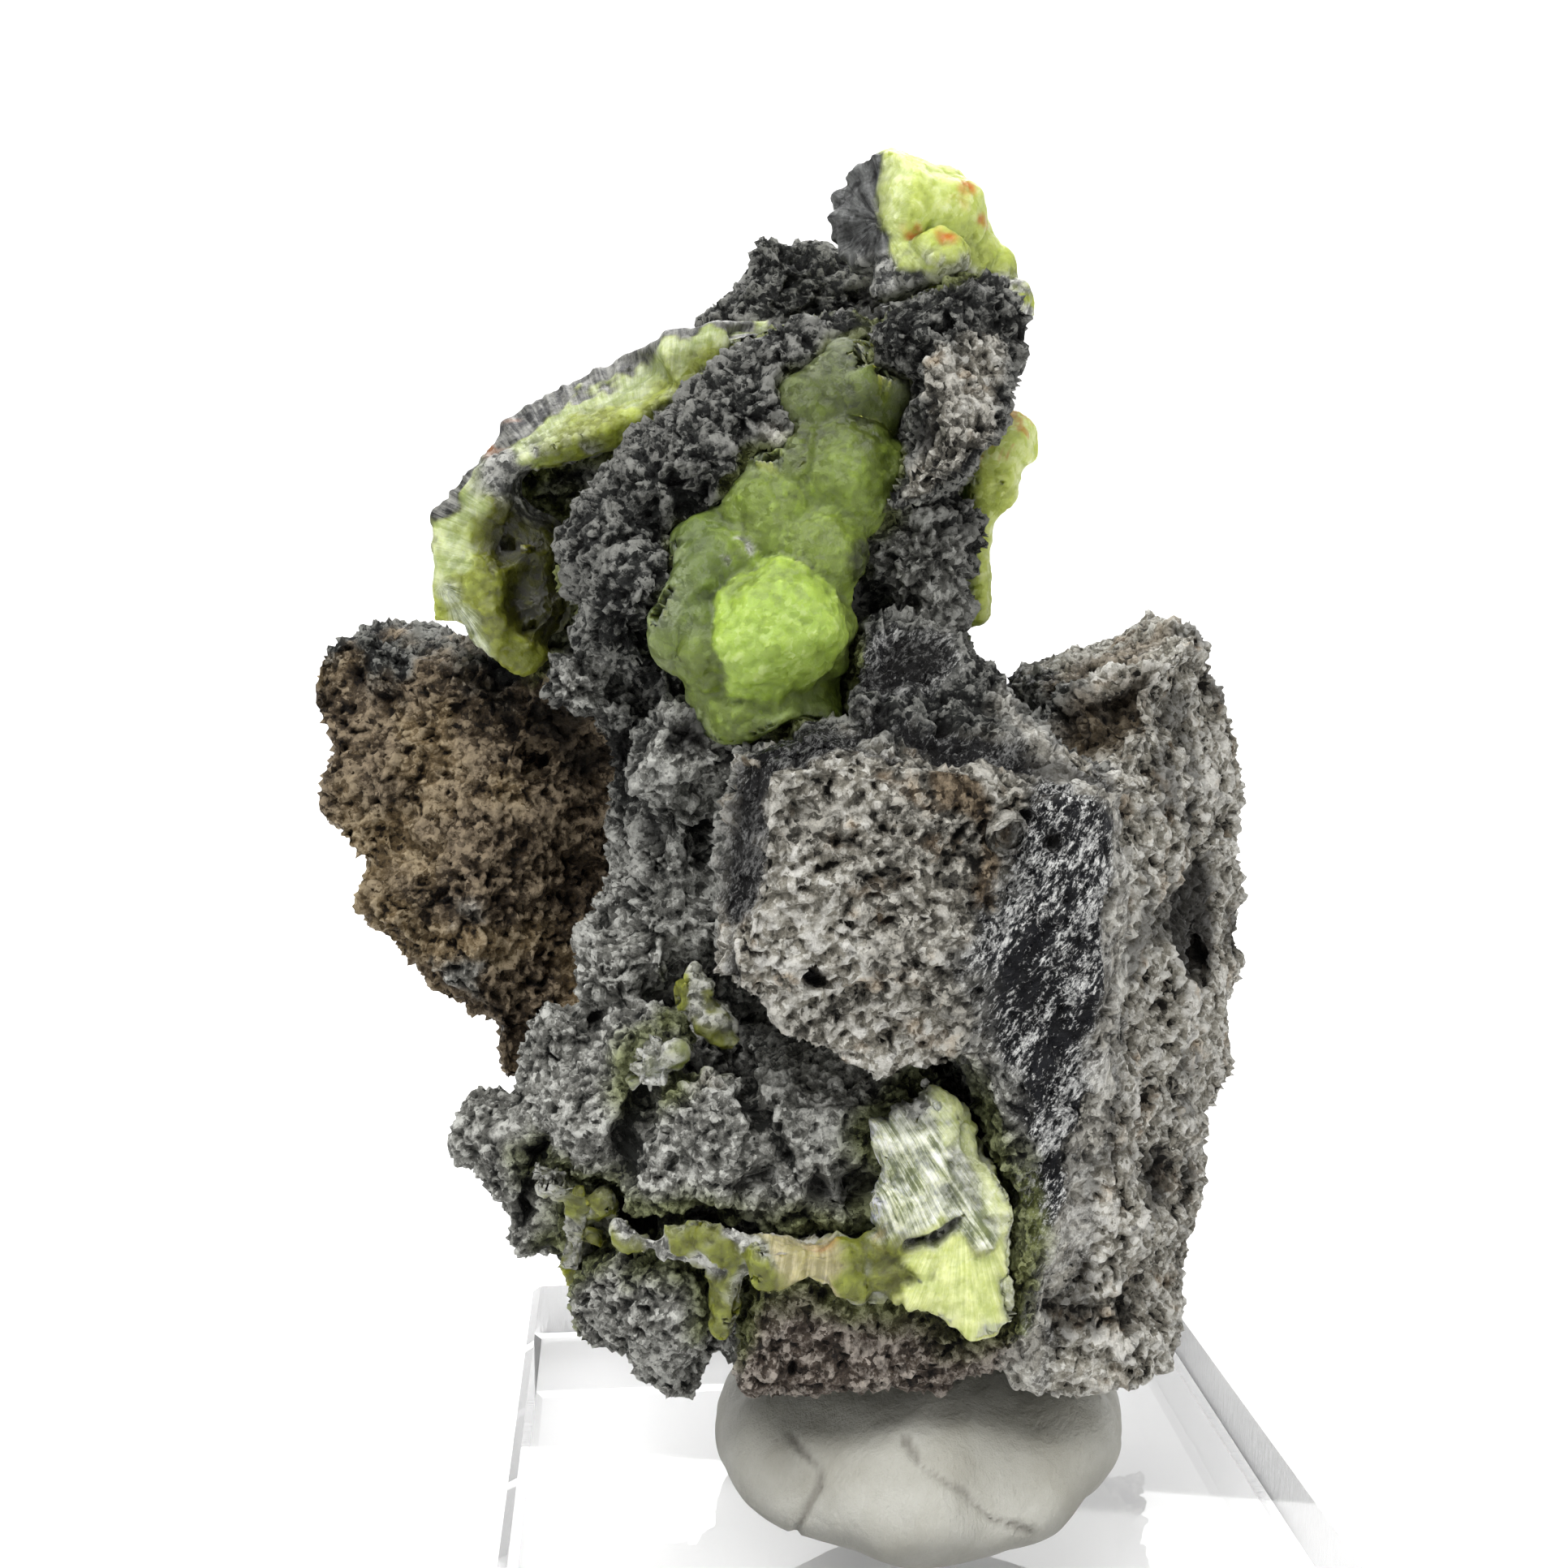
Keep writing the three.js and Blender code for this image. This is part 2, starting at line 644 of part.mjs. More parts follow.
/** A square block with bevelled edges. */
function displayBlock() {
  const corner = BLOCK_SIDE / 2;
  const corners = [[-corner, -corner], [corner, -corner], [corner, corner], [-corner, corner]];
  const square = new THREE.Shape(corners.map(([x, y]) => new THREE.Vector2(x, y)));
  const block = new THREE.ExtrudeGeometry(square, {
    depth: BLOCK_HEIGHT - 2 * BLOCK_BEVEL,
    bevelThickness: BLOCK_BEVEL,
    bevelSize: BLOCK_BEVEL,
    bevelOffset: -BLOCK_BEVEL,
    bevelSegments: 1,
  });
  return toSolid(block.translate(0, 0, BLOCK_BEVEL));
}

// Finishes, as seen on the specimen

function finish(color, roughness) {
  return new THREE.MeshStandardMaterial({ color, roughness, metalness: 0, flatShading: true });
}

const rockFinish = () => finish(0x6b6964, 0.9);
const brightGreen = () => finish(0xa4c84f, 0.35);
const oliveGreen = () => finish(0x7f9438, 0.4);
const paleGreen = () => finish(0xc3cf8c, 0.4);
const puttyFinish = () => finish(0xc8cbbe, 0.8);

function clearAcrylic() {
  const material = finish(0xeef2f2, 0.05);
  material.transparent = true;
  material.opacity = 0.35;
  return material;
}

const PIECES = [
  ['matrix_rock', matrixRock, rockFinish, STONE_EDGE],
  ['crown_wavellite', crownWavellite, brightGreen, GROWTH_EDGE],
  ['ridge_wavellite', ridgeWavellite, paleGreen, GROWTH_EDGE],
  ['central_wavellite', centralWavellite, brightGreen, GROWTH_EDGE],
  ['side_wavellite', sideWavellite, brightGreen, GROWTH_EDGE],
  ['front_wavellite', frontWavellite, paleGreen, GROWTH_EDGE],
  ['corner_wavellite', cornerWavellite, oliveGreen, GROWTH_EDGE],
  ['cleft_wavellite', cleftWavellite, oliveGreen, GROWTH_EDGE],
  ['shoulder_wavellite', shoulderWavellite, oliveGreen, GROWTH_EDGE],
  ['putty_foot', puttyFoot, puttyFinish, STONE_EDGE],
  ['display_block', displayBlock, clearAcrylic, 0],
];

const group = new THREE.Group();
for (const [name, shape, material, shortestEdge] of PIECES) {
  const mesh = new THREE.Mesh(withoutSlivers(shape(), shortestEdge), material());
  mesh.name = name;
  group.add(mesh);
}

export default group;
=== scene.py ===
"""Wavellite on broken chert, pressed into a putty foot on a clear acrylic block.

The shapes are worked out in millimetres on copies of the frame's nodes, and scaled to metres at the
end. Each piece starts as a finely divided, smoothed copy of its node. Grains, pits and fibres then
move its points, and where each finish lies is kept as named values on the mesh for the materials.
"""

import math

import bmesh
import bpy
import numpy as np
from mathutils import Matrix, Vector
from mathutils.bvhtree import BVHTree


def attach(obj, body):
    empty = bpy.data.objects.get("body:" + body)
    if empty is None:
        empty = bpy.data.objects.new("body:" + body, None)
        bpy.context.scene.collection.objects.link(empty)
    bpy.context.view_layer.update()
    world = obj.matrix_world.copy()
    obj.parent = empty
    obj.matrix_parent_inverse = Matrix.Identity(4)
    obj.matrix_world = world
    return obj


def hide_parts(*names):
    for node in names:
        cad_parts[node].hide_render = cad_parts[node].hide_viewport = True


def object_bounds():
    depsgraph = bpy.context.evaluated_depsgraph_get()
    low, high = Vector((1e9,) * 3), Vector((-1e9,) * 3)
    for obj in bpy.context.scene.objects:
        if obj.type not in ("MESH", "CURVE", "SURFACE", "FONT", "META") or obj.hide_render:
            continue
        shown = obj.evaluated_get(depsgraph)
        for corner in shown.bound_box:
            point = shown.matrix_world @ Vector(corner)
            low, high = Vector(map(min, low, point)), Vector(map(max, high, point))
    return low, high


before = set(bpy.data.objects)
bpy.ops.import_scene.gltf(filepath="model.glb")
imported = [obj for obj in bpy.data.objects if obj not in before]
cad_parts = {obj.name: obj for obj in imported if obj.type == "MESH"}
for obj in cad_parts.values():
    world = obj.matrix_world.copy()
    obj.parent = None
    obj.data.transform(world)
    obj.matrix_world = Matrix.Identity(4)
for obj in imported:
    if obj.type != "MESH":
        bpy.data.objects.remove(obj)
cad_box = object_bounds()

MM = 0.001
FAR = 99.0
GROWTHS = [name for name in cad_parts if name.endswith("_wavellite")]

# The camera, from the photo's perspective
CAMERA_PLACE = (-10.7, -70, 44.7)
CAMERA_PITCH = 7.4
CAMERA_YAW = 5
FIELD_OF_VIEW = 48.2

# How finely each kind of piece is divided, and how often it is smoothed
ROCK_VOXEL = 0.15
ROCK_SMOOTHING = 8
GROWTH_VOXEL = 0.11
PUTTY_VOXEL = 0.2
PUTTY_SMOOTHING = 25

# How far the growths swell, to meet the rock that their nodes keep a gap to
GROWTH_SWELL = 0.34


# Repeatable noise on arrays of points; each call's seed gives a pattern of its own


def cell_value(cell, seed):
    """A repeatable value from 0 to 1 for each cell of a whole-numbered grid."""
    # Large odd factors mix the bits of the three coordinates
    x, y, z = (cell[:, axis].astype(np.int64).astype(np.uint32) for axis in range(3))
    mixed = x * np.uint32(374761393) + y * np.uint32(668265263) + z * np.uint32(2246822519)
    mixed = mixed + np.uint32((seed * 3266489917) % 2**32)
    mixed = (mixed ^ (mixed >> np.uint32(13))) * np.uint32(1274126177)
    mixed = mixed ^ (mixed >> np.uint32(16))
    return mixed / np.float64(2**32)


def cell_place(cell, seed):
    """A repeatable place for each cell, with coordinates from 0 to 1."""
    return np.stack([cell_value(cell, seed + axis) for axis in range(3)], axis=1)


def noise(points, size, seed):
    """Smooth noise from -1 to 1, with bumps of about one size across."""
    scaled = points / size
    corner = np.floor(scaled)
    part = scaled - corner
    ease = part * part * (3 - 2 * part)
    total = np.zeros(len(points))
    for step in np.ndindex(2, 2, 2):
        weight = np.prod(np.where(np.array(step) == 1, ease, 1 - ease), axis=1)
        total += weight * cell_value(corner + step, seed)
    return 2 * total - 1


def layered(points, size, seed, layers=3):
    """Noise with finer and weaker layers on top."""
    return sum(noise(points, size / 2**n, seed + n) / 2**n for n in range(layers))


def crests(points, size, seed, layers=3):
    """Noise with sharp crests and rounded hollows."""
    return sum((0.7 - 2 * np.abs(noise(points, size / 2**n, seed + n))) / 2**n for n in range(layers))


def warped(points, size, reach, seed):
    """Places shifted by noise, so that grains on them come out ragged."""
    return points + reach * np.stack([noise(points, size, seed + axis) for axis in range(3)], axis=1)


def grains(points, size, seed):
    """The nearest of scattered grains: its distance, the border beside it, its cell and the offset to it."""
    scaled = points / size
    corner = np.floor(scaled)
    nearest = np.full(len(points), FAR)
    second = np.full(len(points), FAR)
    own = corner.copy()
    for step in np.ndindex(3, 3, 3):
        cell = corner + np.array(step) - 1
        distance = np.linalg.norm(cell + cell_place(cell, seed) - scaled, axis=1)
        closer = distance < nearest
        second = np.where(closer, nearest, np.minimum(second, distance))
        own[closer] = cell[closer]
        nearest = np.minimum(nearest, distance)
    return nearest, second - nearest, own, scaled - own - cell_place(own, seed)


def domes(points, size, seed):
    """Rounded bumps, 1 at each middle and 0 in the creases between them."""
    nearest = grains(points, size, seed)[0]
    return np.clip(1 - 1.4 * nearest**2, 0, 1)


def facets(points, size, seed):
    """Angular grains from about -1 to 1, each at a height and a tilt of its own."""
    _, _, own, offset = grains(points, size, seed)
    tilt = 2 * cell_place(own, seed + 3) - 1
    return 1.2 * cell_value(own, seed + 6) - 0.6 + np.sum(offset * tilt, axis=1)


def step_up(values, low, high):
    """0 below low, 1 above high, and a smooth rise between them."""
    part = np.clip((values - low) / (high - low), 0, 1)
    return part * part * (3 - 2 * part)


def step_down(values, low, high):
    """1 below low, 0 above high, and a smooth fall between them."""
    return 1 - step_up(values, low, high)


def near(points, spots, reach):
    """1 within the given spots of x, y, z and radius, and 0 beyond them by more than the reach."""
    closest = np.full(len(points), FAR)
    for x, y, z, radius in spots:
        closest = np.minimum(closest, np.linalg.norm(points - (x, y, z), axis=1) - radius)
    return step_down(closest, 0, reach)


def from_front(points, spots, reach):
    """The same for spots of x, z and radius, whatever their depth."""
    closest = np.full(len(points), FAR)
    for x, z, radius in spots:
        closest = np.minimum(closest, np.hypot(points[:, 0] - x, points[:, 2] - z) - radius)
    return step_down(closest, 0, reach)


def drawn(points, moves):
    """Points drawn along by moves, each of x, y, z, radius, reach and the way it goes."""
    for *spot, reach, way in moves:
        points = points + near(points, [spot], reach)[:, None] * way
    return points


def distance_to_line(points, line):
    """How far points are from a line of x and z places, seen from the front."""
    closest = np.full(len(points), FAR)
    flat = points[:, [0, 2]]
    for start, end in zip(line, line[1:]):
        start, along = np.array(start, float), np.subtract(end, start)
        part = np.clip((flat - start) @ along / (along @ along), 0, 1)
        closest = np.minimum(closest, np.linalg.norm(flat - start - part[:, None] * along, axis=1))
    return closest


def along(points, line, uneven, low, high):
    """1 nearer than low to a line seen from the front, and 0 further than high."""
    return step_down(distance_to_line(points, line) + uneven, low, high)


def across_at(line, z):
    """The x of a line of x and z places, at given heights."""
    heights, places = zip(*sorted((height, place) for place, height in line))
    return np.interp(z, heights, places)


def distance_to_nodes(points, nodes):
    """How far points are from the surfaces of CAD nodes, up to a few millimetres."""
    verts, faces = [], []
    for name in nodes:
        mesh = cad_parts[name].data
        faces += [[len(verts) + index for index in face.vertices] for face in mesh.polygons]
        verts += [vertex.co / MM for vertex in mesh.vertices]
    tree = BVHTree.FromPolygons(verts, faces)
    limit = 4.0
    found = (tree.find_nearest(point, limit)[3] for point in points)
    return np.array([limit if distance is None else distance for distance in found])


def rays(points, centre, facing, count, seed):
    """Ridges that spread over a plane from one point, from -1 to 1."""
    facing = np.array(facing) / np.linalg.norm(facing)
    offset = points - np.array(centre)
    flat = offset - np.outer(offset @ facing, facing)
    reach = np.linalg.norm(flat, axis=1)
    around = flat / np.maximum(reach, 0.01)[:, None] * count / (2 * math.pi)
    return layered(around + np.outer(reach / 3, facing), 1.0, seed, 2)


# Meshes


def add_object(name, data):
    """A new object in the scene."""
    added = bpy.data.objects.new(name, data)
    bpy.context.scene.collection.objects.link(added)
    return added


def read(mesh, name):
    """The places ("co") or the normals ("normal") of a mesh's points."""
    flat = np.empty(len(mesh.vertices) * 3, np.float32)
    mesh.vertices.foreach_get(name, flat)
    return flat.reshape(-1, 3).astype(float)


def write_points(mesh, points):
    mesh.vertices.foreach_set("co", points.astype(np.float32).ravel())
    mesh.update()


def keep_values(mesh, **named):
    """Stores numbers for each point, for a material to read by their names."""
    for name, values in named.items():
        attribute = mesh.attributes.new(name, "FLOAT", "POINT")
        attribute.data.foreach_set("value", values.astype(np.float32))


def fine_copy(name, node, voxel, rounds, closing=0):
    """A finely divided copy of a CAD node in millimetres, smoothed, with narrow creases closed."""
    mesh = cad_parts[node].data.copy()
    mesh.transform(Matrix.Scale(1 / MM, 4))
    rough = add_object(name + "_rough", mesh)
    rough.modifiers.new("Remesh", "REMESH").voxel_size = voxel
    if closing:
        swell = rough.modifiers.new("Swell", "DISPLACE")
        swell.strength = closing
        swell.mid_level = 0
        rough.modifiers.new("Join", "REMESH").voxel_size = voxel
    smooth = rough.modifiers.new("Smooth", "SMOOTH")
    smooth.factor = 0.5
    smooth.iterations = rounds
    graph = bpy.context.evaluated_depsgraph_get()
    fine = bpy.data.meshes.new_from_object(rough.evaluated_get(graph))
    bpy.data.objects.remove(rough)
    fine.name = name
    push(fine, -closing)
    return fine


def push(mesh, distances):
    """Moves each point along its normal."""
    write_points(mesh, read(mesh, "co") + read(mesh, "normal") * np.reshape(distances, (-1, 1)))


def cap(part, rim, facing):
    """Closes a flat cut with triangles, and leaves open the hollows that it passes through."""
    # The fill works only towards a positive axis, so other caps are turned over afterwards
    upward = [abs(axis) for axis in facing]
    filled = bmesh.ops.triangle_fill(part, use_beauty=True, edges=rim, normal=upward)
    if sum(facing) < 0:
        caps = [item for item in filled["geom"] if isinstance(item, bmesh.types.BMFace)]
        bmesh.ops.reverse_faces(part, faces=caps)


def part_behind(mesh, name, planes):
    """The closed part of a mesh that lies behind some planes, with sharp edges round its cuts."""
    part = bmesh.new()
    part.from_mesh(mesh)
    for point, facing in planes:
        everything = part.verts[:] + part.edges[:] + part.faces[:]
        cut = bmesh.ops.bisect_plane(part, geom=everything, plane_co=point, plane_no=facing, clear_outer=True)
        rim = [item for item in cut["geom_cut"] if isinstance(item, bmesh.types.BMEdge)]
        for edge in rim:
            edge.smooth = False
        cap(part, rim, facing)
    result = bpy.data.meshes.new(name)
    part.to_mesh(result)
    part.free()
    return result


def place(mesh, name, node, slot, material):
    """Turns a mesh in millimetres into a piece that stands for a CAD node, inside the CAD model's box."""
    low, high = (np.array(corner) / MM for corner in cad_box)
    write_points(mesh, np.clip(read(mesh, "co"), low, high))
    mesh.transform(Matrix.Scale(MM, 4))
    mesh.polygons.foreach_set("use_smooth", np.ones(len(mesh.polygons), bool))
    mesh.materials.clear()
    mesh.materials.append(material)
    piece = add_object(name, mesh)
    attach(piece, "root")
    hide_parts(node)


# Materials


class Material:
    """A node material, built with short calls."""

    def __init__(self, name):
        self.data = bpy.data.materials.new(name)
        self.data.use_nodes = True
        self.nodes = self.data.node_tree.nodes
        self.links = self.data.node_tree.links
        self.shader = self.nodes["Principled BSDF"]
        self.places = self.node("TexCoord").outputs["Object"]

    def put(self, socket, value):
        """Links a socket to another one, or sets its value."""
        if isinstance(value, bpy.types.NodeSocket):
            self.links.new(value, socket)
        elif isinstance(value, tuple) and socket.type == "RGBA":
            socket.default_value = (*value[:3], 1)
        else:
            socket.default_value = value

    def node(self, kind, inputs=None, **settings):
        node = self.nodes.new("ShaderNode" + kind)
        for key, value in settings.items():
            setattr(node, key, value)
        for key, value in (inputs or {}).items():
            self.put(node.inputs[key], value)
        return node

    def set(self, **values):
        """Sets the shader's sockets, with _ for a space in their names."""
        for key, value in values.items():
            self.put(self.shader.inputs[key.replace("_", " ")], value)

    def value(self, name):
        """A number kept on the mesh's points."""
        return self.node("Attribute", attribute_name=name).outputs["Fac"]

    def maths(self, operation, first, second=0.5):
        return self.node("Math", {0: first, 1: second}, operation=operation).outputs[0]

    def blend(self, *weighted):
        """The sum of sockets, each times its weight."""
        total = self.maths("MULTIPLY", *weighted[0])
        for socket, weight in weighted[1:]:
            total = self.maths("ADD", total, self.maths("MULTIPLY", socket, weight))
        return total

    def vector(self, operation, first, second=(0, 0, 0), scale=1):
        inputs = {0: first, 1: second, 3: scale}
        return self.node("VectorMath", inputs, operation=operation).outputs[0]

    def noise(self, size_mm, detail=3, rough=0.6, where=None):
        scale = 1 / (size_mm * MM)
        inputs = {"Vector": where or self.places, "Scale": scale, "Detail": detail, "Roughness": rough}
        return self.node("TexNoise", inputs).outputs["Fac"]

    def crystals(self, size_mm):
        """For small ragged grains: a random colour of their own, and two values from it."""
        drift = self.node("TexNoise", {"Vector": self.places, "Scale": 0.8 / (size_mm * MM), "Detail": 2})
        shift = self.vector("SUBTRACT", drift.outputs["Color"], (0.5, 0.5, 0.5))
        bent = self.vector("ADD", self.places, self.vector("SCALE", shift, scale=2 * size_mm * MM))
        node = self.node("TexVoronoi", {"Vector": bent, "Scale": 1 / (size_mm * MM)})
        own = self.node("SeparateColor", {"Color": node.outputs["Color"]})
        return node.outputs["Color"], own.outputs["Red"], own.outputs["Green"]

    def stretched(self, turn, stretch):
        """Places in which textures come out stretched along a line that is turned from upright."""
        inputs = {"Vector": self.places, "Rotation": (0, turn, 0), "Scale": (1, 1, stretch)}
        return self.node("Mapping", inputs, vector_type="TEXTURE").outputs[0]

    def rays(self, centre_mm, facing, count):
        """Streaks that spread over a plane from one point, from 0 to 1."""
        direction = Vector(facing).normalized()
        offset = self.vector("SUBTRACT", self.places, Vector(centre_mm) * MM)
        flat = self.vector("SUBTRACT", offset, self.vector("PROJECT", offset, direction))
        around = self.vector("SCALE", self.vector("NORMALIZE", flat), scale=count / (2 * math.pi))
        bent = self.vector("ADD", around, self.vector("SCALE", self.places, scale=0.4 / MM))
        inputs = {"Vector": bent, "Scale": 1, "Detail": 5, "Roughness": 0.75, "Distortion": 0.5}
        return self.node("TexNoise", inputs).outputs["Fac"]

    def ramp(self, factor, *stops):
        """Colours along a factor, as pairs of place and colour."""
        node = self.node("ValToRGB", {"Fac": factor})
        elements = node.color_ramp.elements
        while len(elements) < len(stops):
            elements.new(0.5)
        for element, (at, colour) in zip(elements, stops):
            element.position = at
            element.color = (*colour, 1)
        return node.outputs["Color"]

    def mask(self, factor, low, high):
        """0 below low and 1 above high."""
        inputs = {"Value": factor, "From Min": low, "From Max": high}
        return self.node("MapRange", inputs).outputs["Result"]

    def mix(self, factor, first, second):
        node = self.nodes.new("ShaderNodeMix")
        node.data_type = "RGBA"
        self.put(node.inputs["Factor"], factor)
        self.put(node.inputs[6], first)
        self.put(node.inputs[7], second)
        return node.outputs[2]

    def glitter(self, grain_colours, tilt):
        """Normals that lean a little differently on each small grain."""
        lean = self.vector("SUBTRACT", grain_colours, (0.5, 0.5, 0.5))
        straight = self.node("NewGeometry").outputs["Normal"]
        return self.vector("NORMALIZE", self.vector("ADD", straight, self.vector("SCALE", lean, scale=tilt)))

    def bump(self, height, strength, depth_mm, normal=None):
        inputs = {"Height": height, "Strength": strength, "Distance": depth_mm * MM}
        if normal:
            inputs["Normal"] = normal
        return self.node("Bump", inputs).outputs["Normal"]


def grain_tone(m, own):
    """How light grains are: painted shade in hollows and painted light on tips, from the kept height, and
    uneven from place to place.
    """
    broad = m.noise(2.4, 3)
    fine = m.noise(0.28, 6, 0.85)
    tone = m.blend((m.value("relief"), 0.7), (fine, 0.95), (broad, 0.35), (own, 0.34))
    return m.maths("SUBTRACT", tone, 0.65)


STONE_AT = (0.26, 0.52, 0.78)


def stone(m, tone, *shades):
    """Grains in three shades: dark, middle and light."""
    return m.ramp(tone, *zip(STONE_AT, shades))


def druse_colour(m, tone):
    """Grey crystal grains, dark above and paler on the lower lumps."""
    dark = stone(m, tone, (0.0015, 0.0015, 0.0015), (0.026, 0.0275, 0.025), (0.36, 0.36, 0.33))
    ash = stone(m, tone, (0.022, 0.023, 0.02), (0.25, 0.248, 0.222), (0.85, 0.85, 0.79))
    return m.mix(m.value("ash"), dark, ash)


def tan_colour(m, tone):
    """The front block and the slab: grey, with cream and warm patches."""
    grey = stone(m, tone, (0.005, 0.0045, 0.0035), (0.13, 0.122, 0.1), (0.68, 0.65, 0.57))
    cream = stone(m, tone, (0.012, 0.01, 0.007), (0.38, 0.355, 0.29), (0.95, 0.93, 0.86))
    warm = stone(m, tone, (0.01, 0.006, 0.003), (0.22, 0.16, 0.1), (0.7, 0.6, 0.46))
    creamy = m.mask(m.blend((m.noise(1.9, 5, 0.7), 1), (m.value("cream"), 0.3)), 0.42, 0.62)
    return m.mix(m.mask(m.noise(1.5, 3), 0.56, 0.7), m.mix(creamy, grey, cream), warm)


def brown_colour(m, tone):
    """The left fragment, with patches of ochre."""
    brown = stone(m, tone, (0.006, 0.0035, 0.002), (0.092, 0.065, 0.038), (0.42, 0.33, 0.22))
    ochre = stone(m, tone, (0.014, 0.008, 0.003), (0.25, 0.175, 0.085), (0.62, 0.5, 0.32))
    return m.mix(m.maths("MULTIPLY", m.value("ochre"), 0.8), brown, ochre)


def black_colour(m):
    """Dark glassy stone with pale chips in slanted streaks."""
    slanted = m.stretched(0.55, 2.6)
    flecks = m.noise(0.16, 6, 0.85, slanted)
    patches = m.noise(1.3, 6, 0.8, slanted)
    glassy = m.ramp(m.noise(0.5, 4), (0.35, (0.0012, 0.0013, 0.0022)), (0.75, (0.016, 0.017, 0.022)))
    chips = m.mask(m.blend((flecks, 0.8), (patches, 0.7), (m.value("relief"), 0.1)), 0.81, 0.86)
    return m.mix(chips, glassy, m.ramp(flecks, (0.44, (0.13, 0.13, 0.13)), (0.6, (1, 1, 0.97))))


def rock_material():
    """Grey druse, with each other finish mixed in where its value on the mesh is high."""
    m = Material("broken_rock")
    grain_colours, own, other = m.crystals(0.24)
    tone = grain_tone(m, own)
    finishes = {
        "tan": tan_colour(m, tone),
        "mauve": stone(m, tone, (0.005, 0.0035, 0.003), (0.105, 0.08, 0.062), (0.6, 0.53, 0.46)),
        "brown": brown_colour(m, tone),
        "black": black_colour(m),
        "pale": stone(m, tone, (0.045, 0.042, 0.034), (0.5, 0.475, 0.41), (1, 0.98, 0.9)),
        "moss": stone(m, tone, (0.004, 0.005, 0.001), (0.09, 0.104, 0.02), (0.36, 0.4, 0.15)),
        # Near black: the slab's dark patches, and painted shade in pinholes, voids, hollows, gaps and
        # shadowed corners
        "hole_and_shade": (0.003, 0.0025, 0.002),
    }
    colour = druse_colour(m, tone)
    for name, finish in finishes.items():
        colour = m.mix(m.value(name), colour, finish)
    height = m.blend((m.noise(0.2, 5, 0.8), 1), (own, 0.3))
    m.set(
        Base_Color=colour,
        Roughness=m.node("MapRange", {"Value": other, "To Min": 0.16, "To Max": 0.9}).outputs["Result"],
        Specular_IOR_Level=0.25,
        Normal=m.bump(height, 1.0, 0.22, m.glitter(grain_colours, 1.0)),
    )
    return m.data


RUST = (0.5, 0.15, 0.005)
COOL_GREEN = (0.085, 0.13, 0.045)

# Greens from the darkest to the palest
SHADES_AT = (0, 0.25, 0.5, 0.75, 1)
GREENS = (
    (0.01, 0.014, 0.001), (0.075, 0.1, 0.012), (0.18, 0.245, 0.036),
    (0.38, 0.53, 0.085), (0.75, 0.84, 0.45),
)
YELLOWS = (
    (0.014, 0.013, 0.001), (0.095, 0.1, 0.008), (0.23, 0.26, 0.03),
    (0.5, 0.58, 0.13), (0.85, 0.9, 0.5),
)


def wavellite_material(name, shades, fans=()):
    """Waxy yellow-green crystal. Each fan is a value's name, a fan and two colours of its fibres."""
    m = Material(name)
    grain_colours, own, _ = m.crystals(0.3)
    # The kept height paints shade in hollows and light on tips
    tone = m.blend((m.value("light"), 1), (m.value("relief"), 0.3), (m.noise(1.6, 4), 0.3), (own, 0.1))
    colour = m.ramp(m.maths("SUBTRACT", tone, 0.35), *zip(SHADES_AT, shades))
    colour = m.mix(m.value("cool"), colour, COOL_GREEN)
    for value, fan, dark, light in fans:
        fibres = m.rays(fan["centre"], fan["facing"], 2 * fan["count"])
        uneven = m.blend((fibres, 0.9), (m.noise(0.8, 4), 0.9))
        streaks = m.ramp(m.maths("SUBTRACT", uneven, 0.38), (0.4, dark), (0.68, light))
        colour = m.mix(m.value(value), colour, streaks)
    colour = m.mix(m.value("rust"), colour, RUST)
    # Grey dust, which also carries pale specks as painted highlights on the central growth
    colour = m.mix(m.value("dust"), colour, druse_colour(m, grain_tone(m, own)))
    m.set(
        Base_Color=colour,
        Roughness=0.4,
        IOR=1.53,
        Subsurface_Weight=m.maths("SUBTRACT", 0.75, m.maths("MULTIPLY", m.value("solid"), 0.74)),
        Subsurface_Radius=(1.0, 1.0, 0.35),
        Subsurface_Scale=1.4 * MM,
        Normal=m.bump(m.noise(0.16, 4, 0.75), 0.6, 0.1, m.glitter(grain_colours, 0.55)),
    )
    return m.data


def putty_material():
    m = Material("putty")
    tint = m.ramp(m.noise(3, 4), (0.35, (0.36, 0.35, 0.3)), (0.65, (0.45, 0.445, 0.4)))
    creases = m.maths("ADD", m.noise(0.6, 5, 0.7), m.noise(0.35, 4, 0.7, m.stretched(0.2, 5)))
    m.set(
        # Darker along the cracks, as painted shade in them
        Base_Color=m.mix(m.value("crack"), tint, (0.26, 0.25, 0.215)),
        Roughness=0.58,
        Subsurface_Weight=0.15,
        Subsurface_Radius=(1.0, 1.0, 0.8),
        Subsurface_Scale=0.6 * MM,
        Normal=m.bump(creases, 0.7, 0.16),
    )
    return m.data


def acrylic_material():
    """Polished above and below, sawn and frosted on the four sides."""
    m = Material("clear_acrylic")
    upright = m.node("SeparateXYZ", {"Vector": m.node("NewGeometry").outputs["Normal"]}).outputs["Z"]
    side = m.mask(m.maths("ABSOLUTE", upright), 0.6, 0.3)
    marks = m.maths("MULTIPLY", m.noise(0.25, 3, 0.6, m.stretched(0, 12)), side)
    m.set(
        Base_Color=(1, 1, 1),
        Roughness=m.maths("ADD", m.maths("MULTIPLY", side, 0.3), 0.02),
        IOR=1.49,
        Transmission_Weight=1.0,
        Normal=m.bump(marks, 0.4, 0.1),
    )
    return m.data


# The rock

